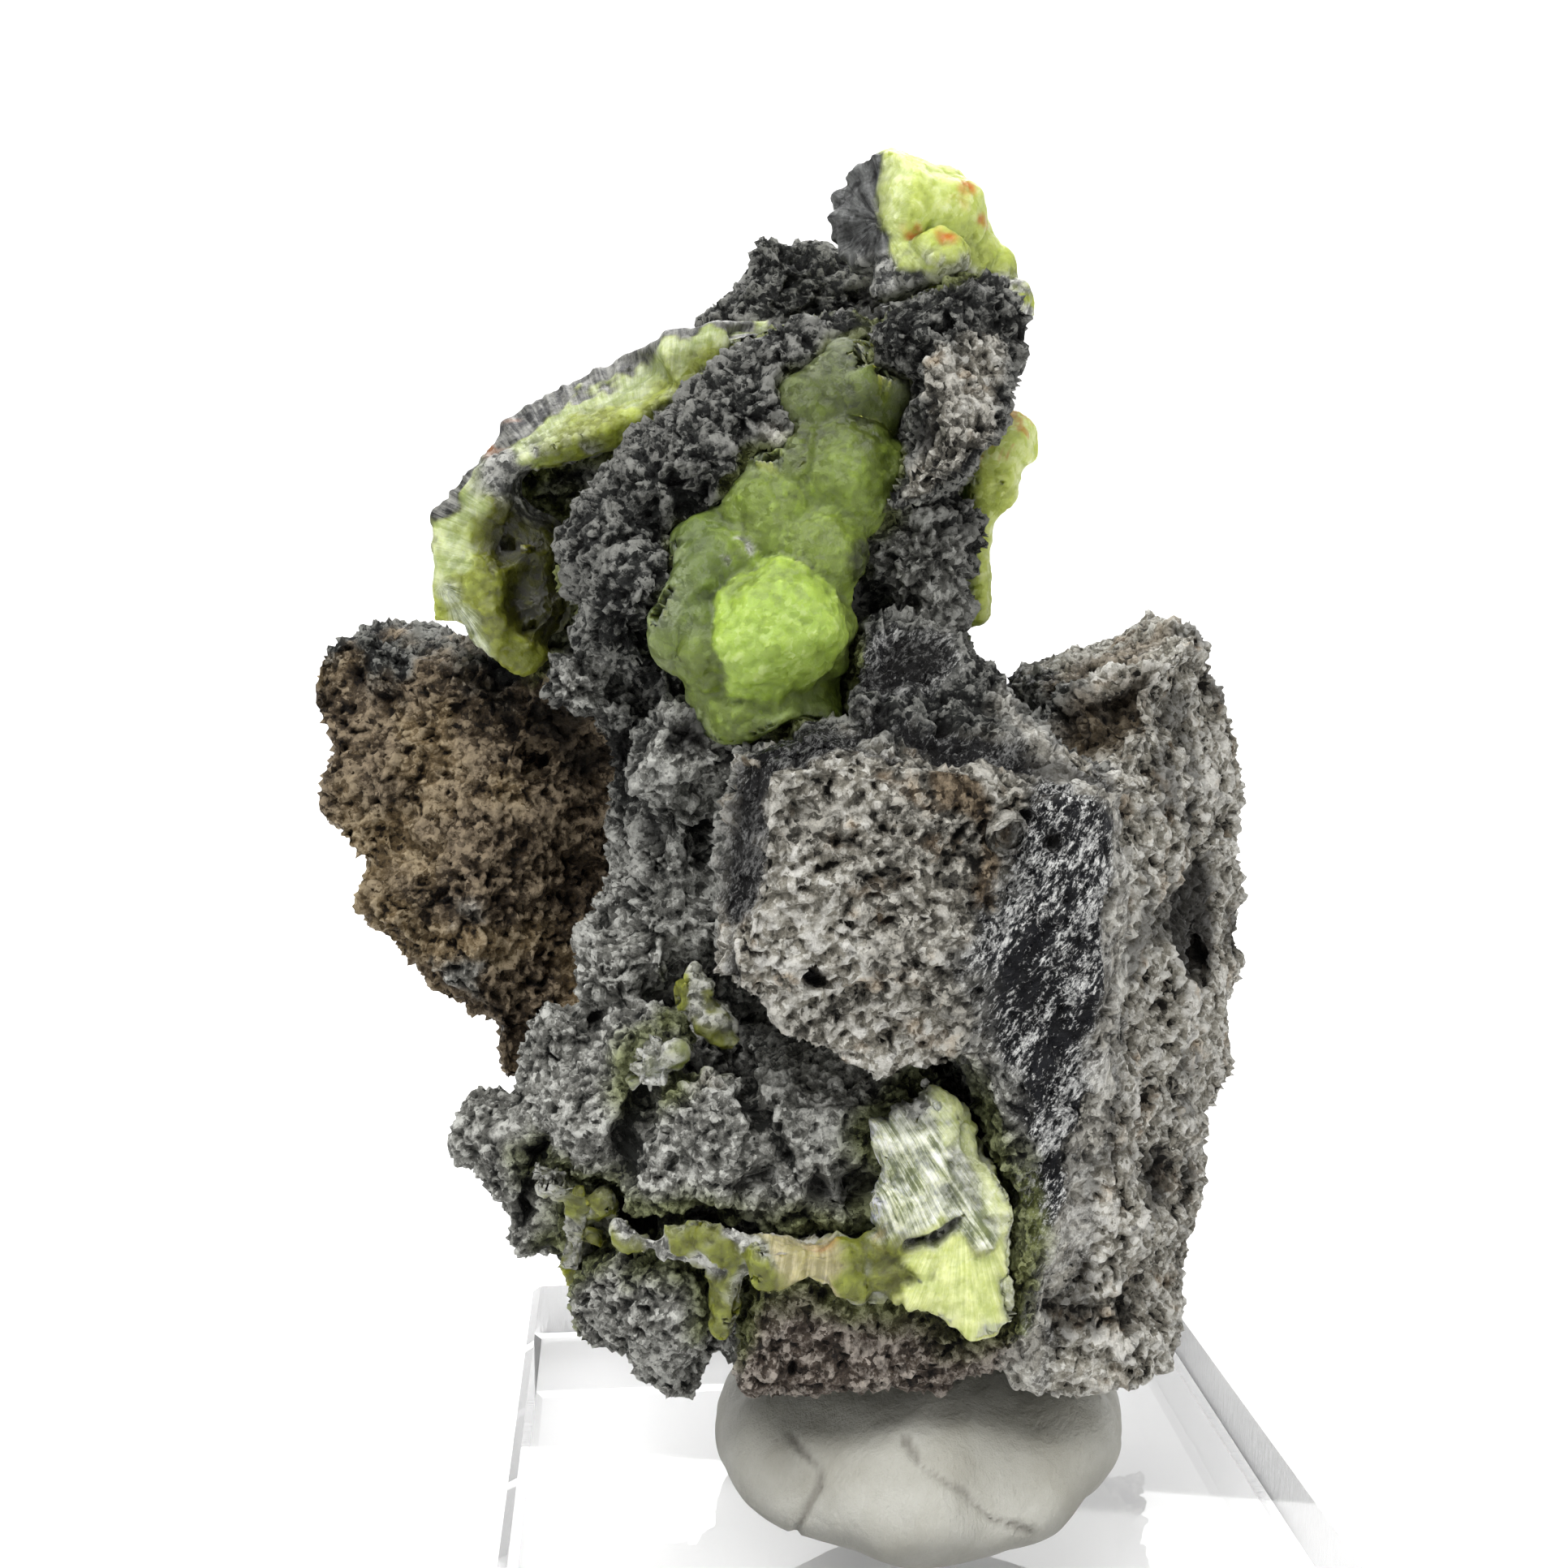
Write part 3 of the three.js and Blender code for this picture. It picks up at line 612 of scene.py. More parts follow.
# Lines of x and z on the front block
PALE_EDGE = [
    (3, 39.6), (4.6, 37.4), (6.3, 36), (6.4, 31.7), (6.1, 27.3),
    (5.3, 24), (5, 22.4), (4.4, 20), (3.7, 17.8), (3, 14.9),
]
BLACK_RIM = [
    (-7.6, 30.5), (-7.4, 34.5), (-7, 37.1), (-6.2, 38.6),
    (-3.1, 39.1), (0.4, 38.6), (3.4, 37.9), (5.8, 37.2),
]
BLACK_BORDER = [(1.2, 26), (0.8, 28.8), (0.8, 31.2), (2.1, 33.7), (3, 35.9), (3.3, 37.2)]
BROWN_CRACK = [(-0.1, 37.1), (0.9, 36), (1.4, 34.6), (1.1, 33.2)]

# Creases between the lower lumps, seen from the front
CREASES = [
    [(-6.6, 25.6), (-6.2, 24.6), (-5.5, 23.3)],
    [(-9.8, 26), (-10.9, 24), (-11.3, 22.2)],
    [(-11.2, 20), (-9.4, 20.7), (-7.4, 21.3)],
    [(-15.2, 19.6), (-14.5, 21), (-14.2, 23.4)],
]

# Where faces of the rock begin and end, each as two places that the change runs between
FRONT_DEPTH = (8.4, 9.2)
BLOCK_FOOT = (26, 27)
BLOCK_TOP = (38.5, 39.2)
UNDERSIDE_TOP = (19.4, 20.2)
UNDERSIDE_LEFT = (-7.8, -7)
UNDERSIDE_RIGHT = (2.4, 3.2)
LOWER_FACE_LEFT = (2.2, 3)
FRAGMENT_FRONT = (0.6, 1.6)
FRAGMENT_RIGHT = (-9.6, -8.6)
FRAGMENT_TOP = (39, 41)
ASH_TOP = (28, 38)

# The slab begins at the front block's pale edge, and further back than that edge at a fixed x
EDGE_DEPTH = -9
SLAB_LEFT = 6

# Spots of x, y, z and radius
PALE_SPOTS = [
    (0.1, -7.3, 51.4, 0.9), (1.3, -7.3, 50.6, 0.9), (0.2, -8.3, 48.8, 0.9),
    (-0.6, -8.1, 47.4, 0.8), (2.3, -6.4, 52.1, 0.7), (1.6, -7.6, 49.4, 0.6),
]
CREAM_SPOTS = [
    (-4.4, -12, 31.2, 0.9), (-2.6, -13, 37.7, 0.3), (-5.9, -12.9, 33.3, 0.7),
    (-1.9, -12.1, 28, 0.8), (-6.7, -12.6, 32.2, 0.4), (8.8, -6.3, 35.2, 0.8),
    (7.7, -8.4, 29.5, 0.9), (8.5, -8.1, 24.7, 1), (5.1, -11.1, 18.3, 0.7),
]
ASH_SPOTS = [
    (-0.7, -4.9, 45.8, 0.8), (0.5, -5.3, 44.3, 1), (1.2, -4.9, 43.1, 0.9),
    (-8.9, -6.4, 38.4, 1), (-9.2, -6.4, 37.2, 1.1), (-9.5, -5.3, 32.2, 1),
    (-12.5, -3, 39.7, 0.8), (-8.3, -5.6, 35.9, 0.8),
]
DARK_SPOTS = [
    (12.2, -2.8, 30, 2.2), (11.1, -4.4, 29.4, 0.9), (10.6, -5.2, 20.6, 0.6),
    (11, -4, 15.4, 0.8), (12, -3, 34.6, 0.5), (9.4, -7.5, 21.3, 0.4),
    (7.3, -10.8, 17.4, 0.3), (-0.3, -6.8, 41.3, 1.2), (-2, -7.9, 40.5, 0.8), (-0.6, -3, 49, 0.6),
]
# Near-black spots: the slab's black patch, and painted shadow in the gaps, caves and corners beside the other
# pieces
DARKEST_AND_SHADOW_SPOTS = [
    (12.6, -2.4, 30, 1.6), (-13.6, 3.1, 37.7, 0.9), (-12.3, 3, 36.2, 0.8),
    (-11.3, -1.5, 37.4, 0.9), (-0.3, -6.8, 41.3, 1), (-2, -7.9, 40.5, 0.7),
    (-7.3, -11.8, 36.2, 0.6), (-7.5, -10.6, 34.9, 0.6), (-0.6, 3.5, 55.6, 0.8),
    (-7, 1.2, 54.2, 0.7), (-0.2, -5.8, 50.7, 0.3), (-0.4, -7.2, 49.1, 0.3),
    (-8.6, -6.2, 38.3, 0.5), (-3.2, -6.6, 42.6, 0.3), (-10.3, -5.5, 38.3, 0.2),
    (-10.1, -3.8, 34.8, 0.4),
]
WHITE_SPOTS = [(-1.3, -1.4, 55, 0.4), (-2.5, -3.4, 52.7, 0.2), (-5.4, -5.4, 49, 0.3), (-1.1, -5.3, 47.1, 0.2)]
VOIDS = [(-6.8, -10.3, 22.3, 0.35), (-6.2, -10, 22.7, 0.25), (-2.9, -10.2, 22.1, 0.6), (-4.2, -10, 22.2, 0.2)]
PINHOLES = [
    (2.7, -12.9, 35.8, 0.12), (3.5, -12.7, 35.1, 0.18), (-4.7, -12.1, 30.6, 0.22),
    (0.3, -9.2, 39.2, 0.25), (0, -10.2, 38.6, 0.2),
]
SLAB_TOP = [(7.2, -1, 40, 1), (8.9, 0.6, 40.5, 1.2), (10.7, 2.1, 40.8, 1)]
SLAB_HOLLOW = [(6.6, -5.7, 39.1, 0.9), (5.5, -5.4, 38.2, 0.6), (7.9, -5.5, 39.7, 0.7), (8.2, -2, 38.6, 0.9)]
RIDGE_HOLLOW = [(-13.8, 1.3, 46, 1.3), (-13.5, 1.2, 44.6, 1.4), (-13.6, 1.3, 43, 1.3), (-14.8, 1, 45.2, 0.8)]

# Places where the rock is drawn out or in from its node: x, y, z, radius, reach, and the way it moves
ROCK_MOVES = [
    (-13.4, -6, 18.2, 1, 3, (-1, -0.2, -0.5)),
    (-16.4, -4.5, 22, 1, 2, (-0.6, 0, -0.2)),
    (-8.8, -6.5, 13.6, 0.5, 2.5, (0, -0.2, -0.8)),
    (-11.5, -6, 15.5, 0.8, 2, (-0.6, 0, -0.5)),
    (13, -3, 13, 2, 5, (-1.1, 0, 0.9)),
    (-23, 4, 39.5, 0.5, 2, (-0.6, 0, -0.2)),
    (-19, 3.5, 41.5, 0.8, 2.4, (0, 0, -0.8)),
    (-8.9, -5.6, 42, 0.6, 1.8, (-0.4, 0.9, 0)),
    (4.5, -3, 42, 0.5, 2, (0.7, 0, 0.6)),
    (-0.9, 5.5, 55.2, 1, 2.5, (1.9, -0.8, -0.2)),
    (-8.6, -5.6, 41, 0.8, 1.6, (-0.5, 0.8, 0)),
]

# The rock's pieces, each behind planes given by a point and the way they face
CUT_X, CUT_Y, CUT_Z = -5, -4, 37
ABOVE, BELOW = ((0, 0, CUT_Z), (0, 0, -1)), ((0, 0, CUT_Z), (0, 0, 1))
WEST, EAST = ((CUT_X, 0, 0), (1, 0, 0)), ((CUT_X, 0, 0), (-1, 0, 0))
NEARER, FURTHER = ((0, CUT_Y, 0), (0, 1, 0)), ((0, CUT_Y, 0), (0, -1, 0))
ROCK_PARTS = {
    "rock_crest": [ABOVE, WEST],
    "rock_top": [ABOVE, EAST],
    "rock_left": [BELOW, WEST],
    "rock_front": [BELOW, EAST, NEARER],
    "rock_back": [BELOW, EAST, FURTHER],
}


def in_ridge_hollow(points):
    """1 in the hollow under the ridge."""
    return near(points + 0.3 * layered(points, 1.2, 90)[:, None], RIDGE_HOLLOW, 1.6)


def slab_zone(points, ragged):
    """The slab on the right, past the front block's pale edge."""
    x, y, z = points.T
    past_edge = np.where(y < EDGE_DEPTH, x - across_at(PALE_EDGE, z), x - SLAB_LEFT)
    return step_up(past_edge + 0.6 * ragged, 0.4, 1.1)


def moss_zone(points, ragged):
    """Olive stains where the rock touches a growth, wider low down."""
    touching = distance_to_nodes(points, GROWTHS) + 0.5 * ragged
    return 0.85 * step_down(touching, 0.4, np.where(points[:, 2] < 28, 1.8, 1.1))


def rock_faces(points, ragged):
    """The front, and on it the block, the slab, the underside and the face below the block."""
    x, y, z = points.T
    front = step_up(-y + ragged, *FRONT_DEPTH)
    block = front * step_up(z + ragged, *BLOCK_FOOT) * step_down(z + ragged, *BLOCK_TOP)
    slab = slab_zone(points, ragged)
    under = front * step_down(z + ragged, *UNDERSIDE_TOP)
    under = under * step_up(x, *UNDERSIDE_LEFT) * step_down(x + ragged, *UNDERSIDE_RIGHT)
    lower = front * step_down(z + ragged, *BLOCK_FOOT)
    lower = lower * step_up(x + ragged, *LOWER_FACE_LEFT) * (1 - slab)
    return front, block, slab, under, lower


def rock_zones(points):
    """How much of each finish lies at each point; grey druse is left between them."""
    x, y, z = points.T
    ragged = 0.9 * layered(points, 1.6, 50, 4)
    uneven = points + 0.5 * ragged[:, None]
    front, block, slab, under, lower = rock_faces(points, ragged)
    border = across_at(BLACK_BORDER, z)
    beyond = step_up(x + 1.3 * ragged, border - 1, border + 1)
    dark = near(points + 0.4 * ragged[:, None], DARK_SPOTS, 0.9)
    darkest = 0.85 * near(points + 0.3 * ragged[:, None], DARKEST_AND_SHADOW_SPOTS, 0.7)
    slab_dark = slab * np.maximum(0.9 * dark, 0.6 * step_up(layered(points, 2.6, 72), 0.25, 0.6))
    rim = along(points, BLACK_RIM, 0.5 * ragged, 0.2, 0.55) * front
    crack = along(points, BROWN_CRACK, 0.6 * ragged, 0.2, 0.7) * front
    wandering = 3 * step_up(y, 4, 8) * layered(points, 6, 73)
    left = step_up(y + ragged, *FRAGMENT_FRONT) * step_down(x + ragged + wandering, *FRAGMENT_RIGHT)
    fragment = left * step_down(z + 2 * ragged, *FRAGMENT_TOP)
    edge = along(points, PALE_EDGE, 0.5 * ragged, 0.3, 1) * step_up(-y + ragged, 7, 8)
    edge = edge * (0.55 + 0.45 * step_up(layered(points, 0.7, 106), -0.3, 0.3))
    hollow = near(points, SLAB_HOLLOW, 1.2)
    void = near(points, VOIDS, 0.5)
    # Near black, from the slab's dark patches and from painted shade: in pinholes, voids, the slab's hollow,
    # shadowed gaps and along the black rim on the block's top
    holes_and_shadows = [near(points, PINHOLES, 0.3), 0.8 * void, 0.55 * hollow, darkest, 0.75 * rim, slab_dark]
    creases = [along(points, line, 0.3 * ragged, 0, 0.6) for line in CREASES]
    # Browner over the top of the slab
    browner_top = 0.75 * near(points + ragged[:, None], SLAB_TOP, 1.5)
    low = step_down(z + 2 * ragged + wandering, *ASH_TOP)
    return {
        "tan": np.clip(block * (1 - beyond) + slab + near(uneven, PALE_SPOTS, 0.7), 0, 1),
        "cream": np.maximum(near(uneven, CREAM_SPOTS, 1.4), 0.6 * slab),
        "crease": np.maximum.reduce(creases) * step_down(y, -5, -3.5),
        "void": void,
        "hole_and_shade": np.maximum.reduce(holes_and_shadows),
        "hollow": hollow,
        "ash": np.maximum(low, 0.8 * near(points, ASH_SPOTS, 1.5)),
        "mauve": under,
        "brown": np.maximum.reduce([fragment, 0.8 * hollow, crack, browner_top]),
        "ochre": step_up(layered(points, 3.2, 71), 0.1, 0.7) * (1 - crack),
        "black": np.clip(block * beyond * (1 - slab) + lower + rim + dark * (1 - slab), 0, 1),
        "pale": np.maximum(edge, near(points, WHITE_SPOTS, 0.5)),
        "moss": np.maximum(moss_zone(points, ragged) * (1 - block), in_ridge_hollow(points)),
    }


def rock_relief(points, zones):
    """How far the rock's points move outwards, and a height from 0 to 1 that paints shade: dark in hollows,
    pits and creases, light on tips.
    """
    black = zones["black"]
    porous = np.clip(zones["tan"] + zones["brown"] + 0.6 * zones["mauve"], 0, 1) * (1 - black)
    druse = np.clip(1 - porous - black, 0, 1)
    bent = warped(points, 0.9, 0.35, 5)
    dents = 0.8 * zones["hollow"] + 0.4 * zones["hole_and_shade"] + 0.6 * zones["crease"] + 0.7 * zones["void"]
    rough = 1 - 0.5 * step_down(points[:, 2], 27, 31) * druse
    broad = 0.45 * layered(points, 2.6, 1) * (1 - 0.6 * black) * rough
    lumps = 0.22 * domes(bent, 1.5, 11) * druse * rough
    network = 0.11 * crests(bent, 0.5, 41) * porous
    pits = 0.25 * step_up(layered(bent, 0.4, 21, 2), 0.4, 0.8) * (porous + druse + 0.6 * black)
    wide_pits = 0.35 * step_up(layered(bent, 0.9, 22, 2), 0.4, 0.8)
    pits = pits + wide_pits * zones["tan"] * step_up(points[:, 0], 6, 7.5)
    coarse = 0.26 * facets(bent, 0.7, 12) * (druse * rough + 0.25 * porous)
    coarse = coarse + 0.3 * facets(bent, 1.9, 13) * black
    fine = 0.2 * facets(bent, 0.38, 32) * (1 - 0.5 * black)
    moved = broad + lumps + network - pits - dents + coarse + fine - 0.25
    # This height is painted shade and light: the materials darken hollows, pits and creases with it, and
    # lighten tips
    height = 0.55 + 0.3 * broad + 0.8 * (lumps - 0.1 * druse) + 1.1 * network
    height = height + 0.8 * coarse + 1.2 * fine - 1.5 * pits
    return moved, np.clip(height - 0.5 * zones["crease"], 0, 1)


def matrix_rock(material):
    """The rock, cut into parts that each stay under the limit of triangles."""
    mesh = fine_copy("rock", "matrix_rock", ROCK_VOXEL, ROCK_SMOOTHING)
    points = drawn(read(mesh, "co"), ROCK_MOVES)
    write_points(mesh, points)
    zones = rock_zones(points)
    moved, relief = rock_relief(points, zones)
    push(mesh, moved)
    for name in ("hollow", "crease", "void"):
        del zones[name]
    keep_values(mesh, relief=relief, **zones)
    for name, planes in ROCK_PARTS.items():
        place(part_behind(mesh, name, planes), name, "matrix_rock", "rock", material)


# The wavellite


def growth_values(points, normals, masks, dusting):
    """The values that a growth's material reads, with grey dust where it meets the rock."""
    values = {name: np.zeros(len(points)) for name in ("cool", "rust", "dust")}
    values["ash"] = np.full(len(points), 0.6)
    values.update(masks(points, normals))
    plain = plainness(values, points)
    ragged = layered(points, 0.9, 44)
    close = step_down(distance_to_nodes(points, ["matrix_rock"]) + 0.3 * ragged, 0.2, 0.7)
    bare = plain * (1 - values.get("hollow", 0))
    values["dust"] = np.maximum(values["dust"], dusting * close * bare)
    none = np.zeros(len(points))
    values["solid"] = np.maximum.reduce([values["dust"], values.get("fan", none), values.get("rim", none)])
    return values


def plainness(values, points):
    """1 where there are sugary knobs, and 0 where there are fibres."""
    plain = np.ones(len(points))
    for name in ("fan", "rim", "white"):
        plain = plain * (1 - values.get(name, 0))
    return plain


def growth(
    node, slot, material, masks, grooves=None, smoothing=16, closing=0.3,
    swell=GROWTH_SWELL, dusting=0.75, moves=(),
):
    """A growth of sugary knobs. masks and grooves work on its points in millimetres."""
    mesh = fine_copy(node + "_surface", node, GROWTH_VOXEL, smoothing, closing)
    points = drawn(read(mesh, "co"), moves)
    write_points(mesh, points)
    values = growth_values(points, read(mesh, "normal"), masks, dusting)
    bent = warped(points, 0.8, 0.25, 37)
    knobs = domes(bent, 1.0, 31)
    sugar = domes(bent, 0.34, 35)
    crystal = facets(bent, 0.3, 36)
    uneven = (0.07 * knobs + 0.06 * sugar + 0.03 * crystal) * plainness(values, points)
    moved = swell + uneven - 0.06
    if grooves:
        moved = moved + grooves(points, values)
    push(mesh, moved + 0.1 * facets(points, 0.5, 45) * values["dust"])
    # A height that paints shade between knobs and grains, and light on their tips
    relief = 0.4 + 0.18 * knobs + 0.25 * sugar + 0.2 * crystal
    keep_values(mesh, relief=np.clip(relief, 0, 1), **values)
    place(mesh, node + "_surface", node, slot, material)


# The crown: a broken ball, with a dark fan of fibres on its left and a green dome on its right
CROWN_FAN = {"centre": (-0.8, -1.3, 57.4), "facing": (-0.75, -0.62, 0.1), "count": 34}
CROWN_STAINS = [(2.2, 58.6, 0.15), (1.8, 57.8, 0.25), (1.3, 56.6, 0.2), (2.9, 57.5, 0.1), (0.1, 56.9, 0.15)]


def crown_masks(points, normals):
    """Where the crown's fan, dome, stains and dust lie."""
    facing = np.array(CROWN_FAN["facing"]) / np.linalg.norm(CROWN_FAN["facing"])
    ragged = 0.4 * layered(points, 0.9, 81)
    level = (points - np.array(CROWN_FAN["centre"])) @ facing
    flat = step_up(level, -0.7, -0.4)
    right = step_up(points[:, 0] + 0.5 * ragged, -1, -0.5)
    low = step_down(points[:, 2] + 2 * ragged, 55.4, 56.3)
    foot = step_down(points[:, 2] + 0.35 * points[:, 0] + ragged, 55.3, 55.7)
    dust = np.maximum(low * step_up(layered(points, 0.8, 82), -0.1, 0.3), foot)
    return {
        "fan": flat * (1 - right),
        "white": 0.35 * flat * right * step_up(normals @ facing, 0.6, 0.85),
        "rust": from_front(points, CROWN_STAINS, 0.35) * step_up(ragged, -0.2, 0.1),
        "dust": dust,
        "ash": 0.6 - 0.6 * foot,
        "light": 0.6 + 0.16 * step_up(points[:, 2] + ragged, 56, 58),
    }


def crown_grooves(points, values):
    """Fibres over the broken face, and a jagged left edge."""
    fibres = rays(points, **CROWN_FAN, seed=83)
    jagged = step_down(points[:, 0], -2.2, -1.2) * (0.35 * layered(points, 0.8, 84) - 0.05)
    jagged = jagged - 0.3 * step_up(points[:, 2], 58.6, 59.4)
    return 0.16 * fibres * (values["fan"] + 0.5 * values["white"]) + jagged


# The ridge: a line of x and z along its fibrous crest
CREST = [
    (-19.2, 44.5), (-18.9, 46.6), (-17.4, 48.3), (-15.4, 50.6), (-13, 52.2), (-10.6, 53), (-9, 53.7),
    (-6.5, 54.5), (-3.4, 54.6),
]
CREST_FAN = {"centre": (-10, 1, 43), "facing": (0, -1, 0), "count": 130}
NUCLEUS_FAN = {"centre": (-18.1, 1, 43.6), "facing": (-0.3, -1, 0), "count": 60}
NUCLEUS_SPOTS = [(-17.9, 0.8, 43.2, 0.3), (-17.4, 0.8, 42, 0.5), (-16.8, 1, 41, 0.4)]
RIDGE_DRUSE = [(-15.6, 48, 0.6), (-14, 47.8, 0.8), (-12.6, 47.8, 0.9)]
RIDGE_STAINS = [(-15.9, 48.9, 0.25), (-15.2, 49.6, 0.1)]
RIDGE_MOVES = [(-3.6, -0.2, 54.4, 1.2, 2.6, (-2, 0.6, -1)), (-10, 0, 53.2, 1, 3, (0, 0, -0.3))]
LINING_TOP = 47.5


def ridge_masks(points, normals):
    """Where the ridge's dark rim, white fibres, stains and druse lie, and the hollow, which is darkened with
    painted shade.
    """
    x, _, z = points.T
    ragged = 0.9 * layered(points, 1.5, 91, 4)
    inward = distance_to_line(points, CREST) + ragged
    width = 0.35 + 0.55 * step_up(z + 0.5 * x + ragged, 38.8, 40)
    white = 0.55 * step_down(inward, width + 0.7, width + 1.6) * step_up(inward, width, width + 0.4)
    hollow = in_ridge_hollow(points)
    # Painted shade: the lining darkens to nothing in the hollow under the ridge
    lining = 0.36 - 0.36 * hollow + 0.2 * step_down(x + ragged, -18, -16.5)
    return {
        "rim": step_down(inward, width, width + 0.4),
        "white": white,
        "hollow": hollow,
        "nucleus": near(points, NUCLEUS_SPOTS, 0.6),
        "rust": from_front(points, RIDGE_STAINS, 0.5) * step_up(ragged, -0.3, 0.2),
        "dust": from_front(points, RIDGE_DRUSE, 1.2) * step_up(ragged, -0.3, 0.1),
        "ash": np.full(len(points), 0.1),
        "light": np.where(z > LINING_TOP, 0.5, lining),
    }


def ridge_grooves(points, values):
    """Fibres across the rim and over the broken nucleus, and a deep hollow."""
    crest = rays(points, **CREST_FAN, seed=92)
    nucleus = rays(points, **NUCLEUS_FAN, seed=93)
    fibres = 0.14 * crest * (values["rim"] + 0.4 * values["white"]) + 0.12 * nucleus * values["nucleus"]
    left = (0.5 - 0.35 * domes(points, 2.2, 107)) * step_down(points[:, 0], -17.6, -15.5)
    return fibres - left - 0.2 - 0.6 * values["hollow"]


# The centre: a round ball in front of a neck of lobes
CENTRAL_MOVES = [
    (-7.2, -5, 41.3, 1.2, 3.2, (-0.9, -0.3, -0.2)),
    (-3.4, -6.5, 43.8, 0.6, 2, (0.2, -0.2, 0)),
    (-5.2, -5, 39, 1, 2, (-0.2, -0.6, -0.3)),
]
# Recesses beside the neck, darkened as painted shade
RECESS_SPOTS = [(-2.5, -5.7, 44.6, 0.4), (-1.9, -4, 44.6, 0.8)]
# Painted highlights: small glints, drawn as pale grey specks through the dust value
GLINTS = [(-7.1, -6, 44.6, 0.2), (-6.6, -6, 45, 0.2), (-7.6, -5.9, 43, 0.2), (-3, -6, 40.9, 0.1)]
BALL_X, BALL_Z = -5.3, 42
BALL_RADIUS = 2.5
BALL_NARROWING = 1.12
BALL_LIGHT = 0.68


def ball_edge(points):
    """How far points are outside the round ball's scalloped edge, seen from the front."""
    scallops = 0.35 * domes(points, 1.1, 94) + 0.35 * layered(points, 2.2, 98) - 0.15
    across = BALL_NARROWING * (points[:, 0] - BALL_X)
    return np.hypot(across, points[:, 2] - BALL_Z) - BALL_RADIUS - scallops


def central_masks(points, normals):
    """Where the ball is bright, where painted glints lie, and where the lobes round it are cooler or darker;
    the darker top, under the rock's overhang, and the recesses are painted shade.
    """
    x, _, z = points.T
    ragged = 0.8 * layered(points, 1.4, 95)
    ball = step_down(ball_edge(points), -0.1, 0.25)
    top = step_up(z + ragged, 47, 49.5)
    left = step_down(x + 0.7 * ragged + 0.15 * (z - 42), -7.2, -5.6)
    below = step_down(z + 0.3 * ragged, 39.2, 40)
    # Painted shade: darker at the top, under the rock's overhang, and in the recesses
    rest = 0.42 - 0.24 * top - 0.08 * left + 0.1 * below - 0.35 * near(points, RECESS_SPOTS, 0.6)
    return {
        "cool": 0.35 * left * (1 - ball) * step_up(z, 41, 43),
        "light": rest + (BALL_LIGHT - rest) * ball * step_down(z + ragged, 43, 45.4),
        # Pale specks at the glints, as painted highlights
        "dust": near(points, GLINTS, 0.3) * step_up(layered(points, 0.4, 93), 0, 0.3),
    }


def central_grooves(points, values):
    """The ball stands proud, with a crease round its lower edge."""
    x, y, z = points.T
    outside = ball_edge(points)
    facing = step_down(y, -5, -3)
    crease = np.exp(-((outside - 0.25) / 0.3) ** 2) * step_down(z, 43.6, 44.6)
    fuller = 0.35 * step_up(z, 46, 48.5) + 0.3 * step_down(x, -8, -6.5) * step_up(outside, 0, 1)
    uneven = 0.25 * layered(points, 1.8, 99)
    return (0.15 * step_down(outside, -1.6, 0.1) - 0.25 * crease) * facing + fuller + uneven


# The right side: balls and drips, seen edge on
SIDE_MOVES = [
    (4, 2.8, 45, 0.8, 2, (0, 1.2, 0)),
    (4, -0.4, 43.8, 0.8, 2, (0, -1, 0)),
    (4, -0.2, 47.2, 0.6, 1.6, (0, -0.7, 0)),
    (4, 2.4, 42.4, 0.4, 1.4, (0, -0.5, 0)),
    (4.5, 1.2, 49, 1, 1.6, (0.1, 0.4, 0)),
    (4.2, 1, 48.6, 1, 2, (0, 0, 0.6)),
]
SIDE_STAINS = [(4.4, 49.8, 0.6), (3.9, 49, 0.5)]


def side_masks(points, normals):
    """A stain of rust on the upper ball, which is the brighter one."""
    stain = from_front(points, SIDE_STAINS, 0.9)
    return {
        "rust": 0.6 * stain * step_up(layered(points, 0.45, 96), 0.2, 0.6),
        "light": 0.69 + 0.06 * step_up(points[:, 2], 46.5, 48),
    }


# The front: a strip of pale fibres, a glowing flake below it, a cream band and an olive rind
FRONT_MOVES = [(1.7, -11, 24.9, 0.3, 1.3, (-0.8, 0.4, -0.1))]
STRIP_FAN = {"centre": (-6.5, -11.5, 34), "facing": (0.1, -1, 0.1), "count": 330}
STRIP_EDGE = [(0.1, 26.4), (0.9, 25), (1.7, 23.6), (2.4, 22.3), (2.6, 20.9)]
STRIP_MIDDLE = [(-1, 25.8), (0.1, 24.2), (1, 22.8), (1.6, 21.6)]
STRIP_CORNER = [(-2.5, 24.1), (-1, 24.6), (0, 26), (0.6, 27)]
STRIP_GAP = [(-1.2, 20.7), (-0.4, 20.8), (0.4, 21.3), (0.8, 21.7)]
LOWER_FAN = {"centre": (0.8, -12, 23), "facing": (0, -1, 0), "count": 60}
BAND_FAN = {"centre": (-3, -12, 30), "facing": (0, -1, 0), "count": 160}
BAND_STAINS = [(-4.2, -11, 20.6, 0.3), (-2, -11.5, 21, 0.1)]


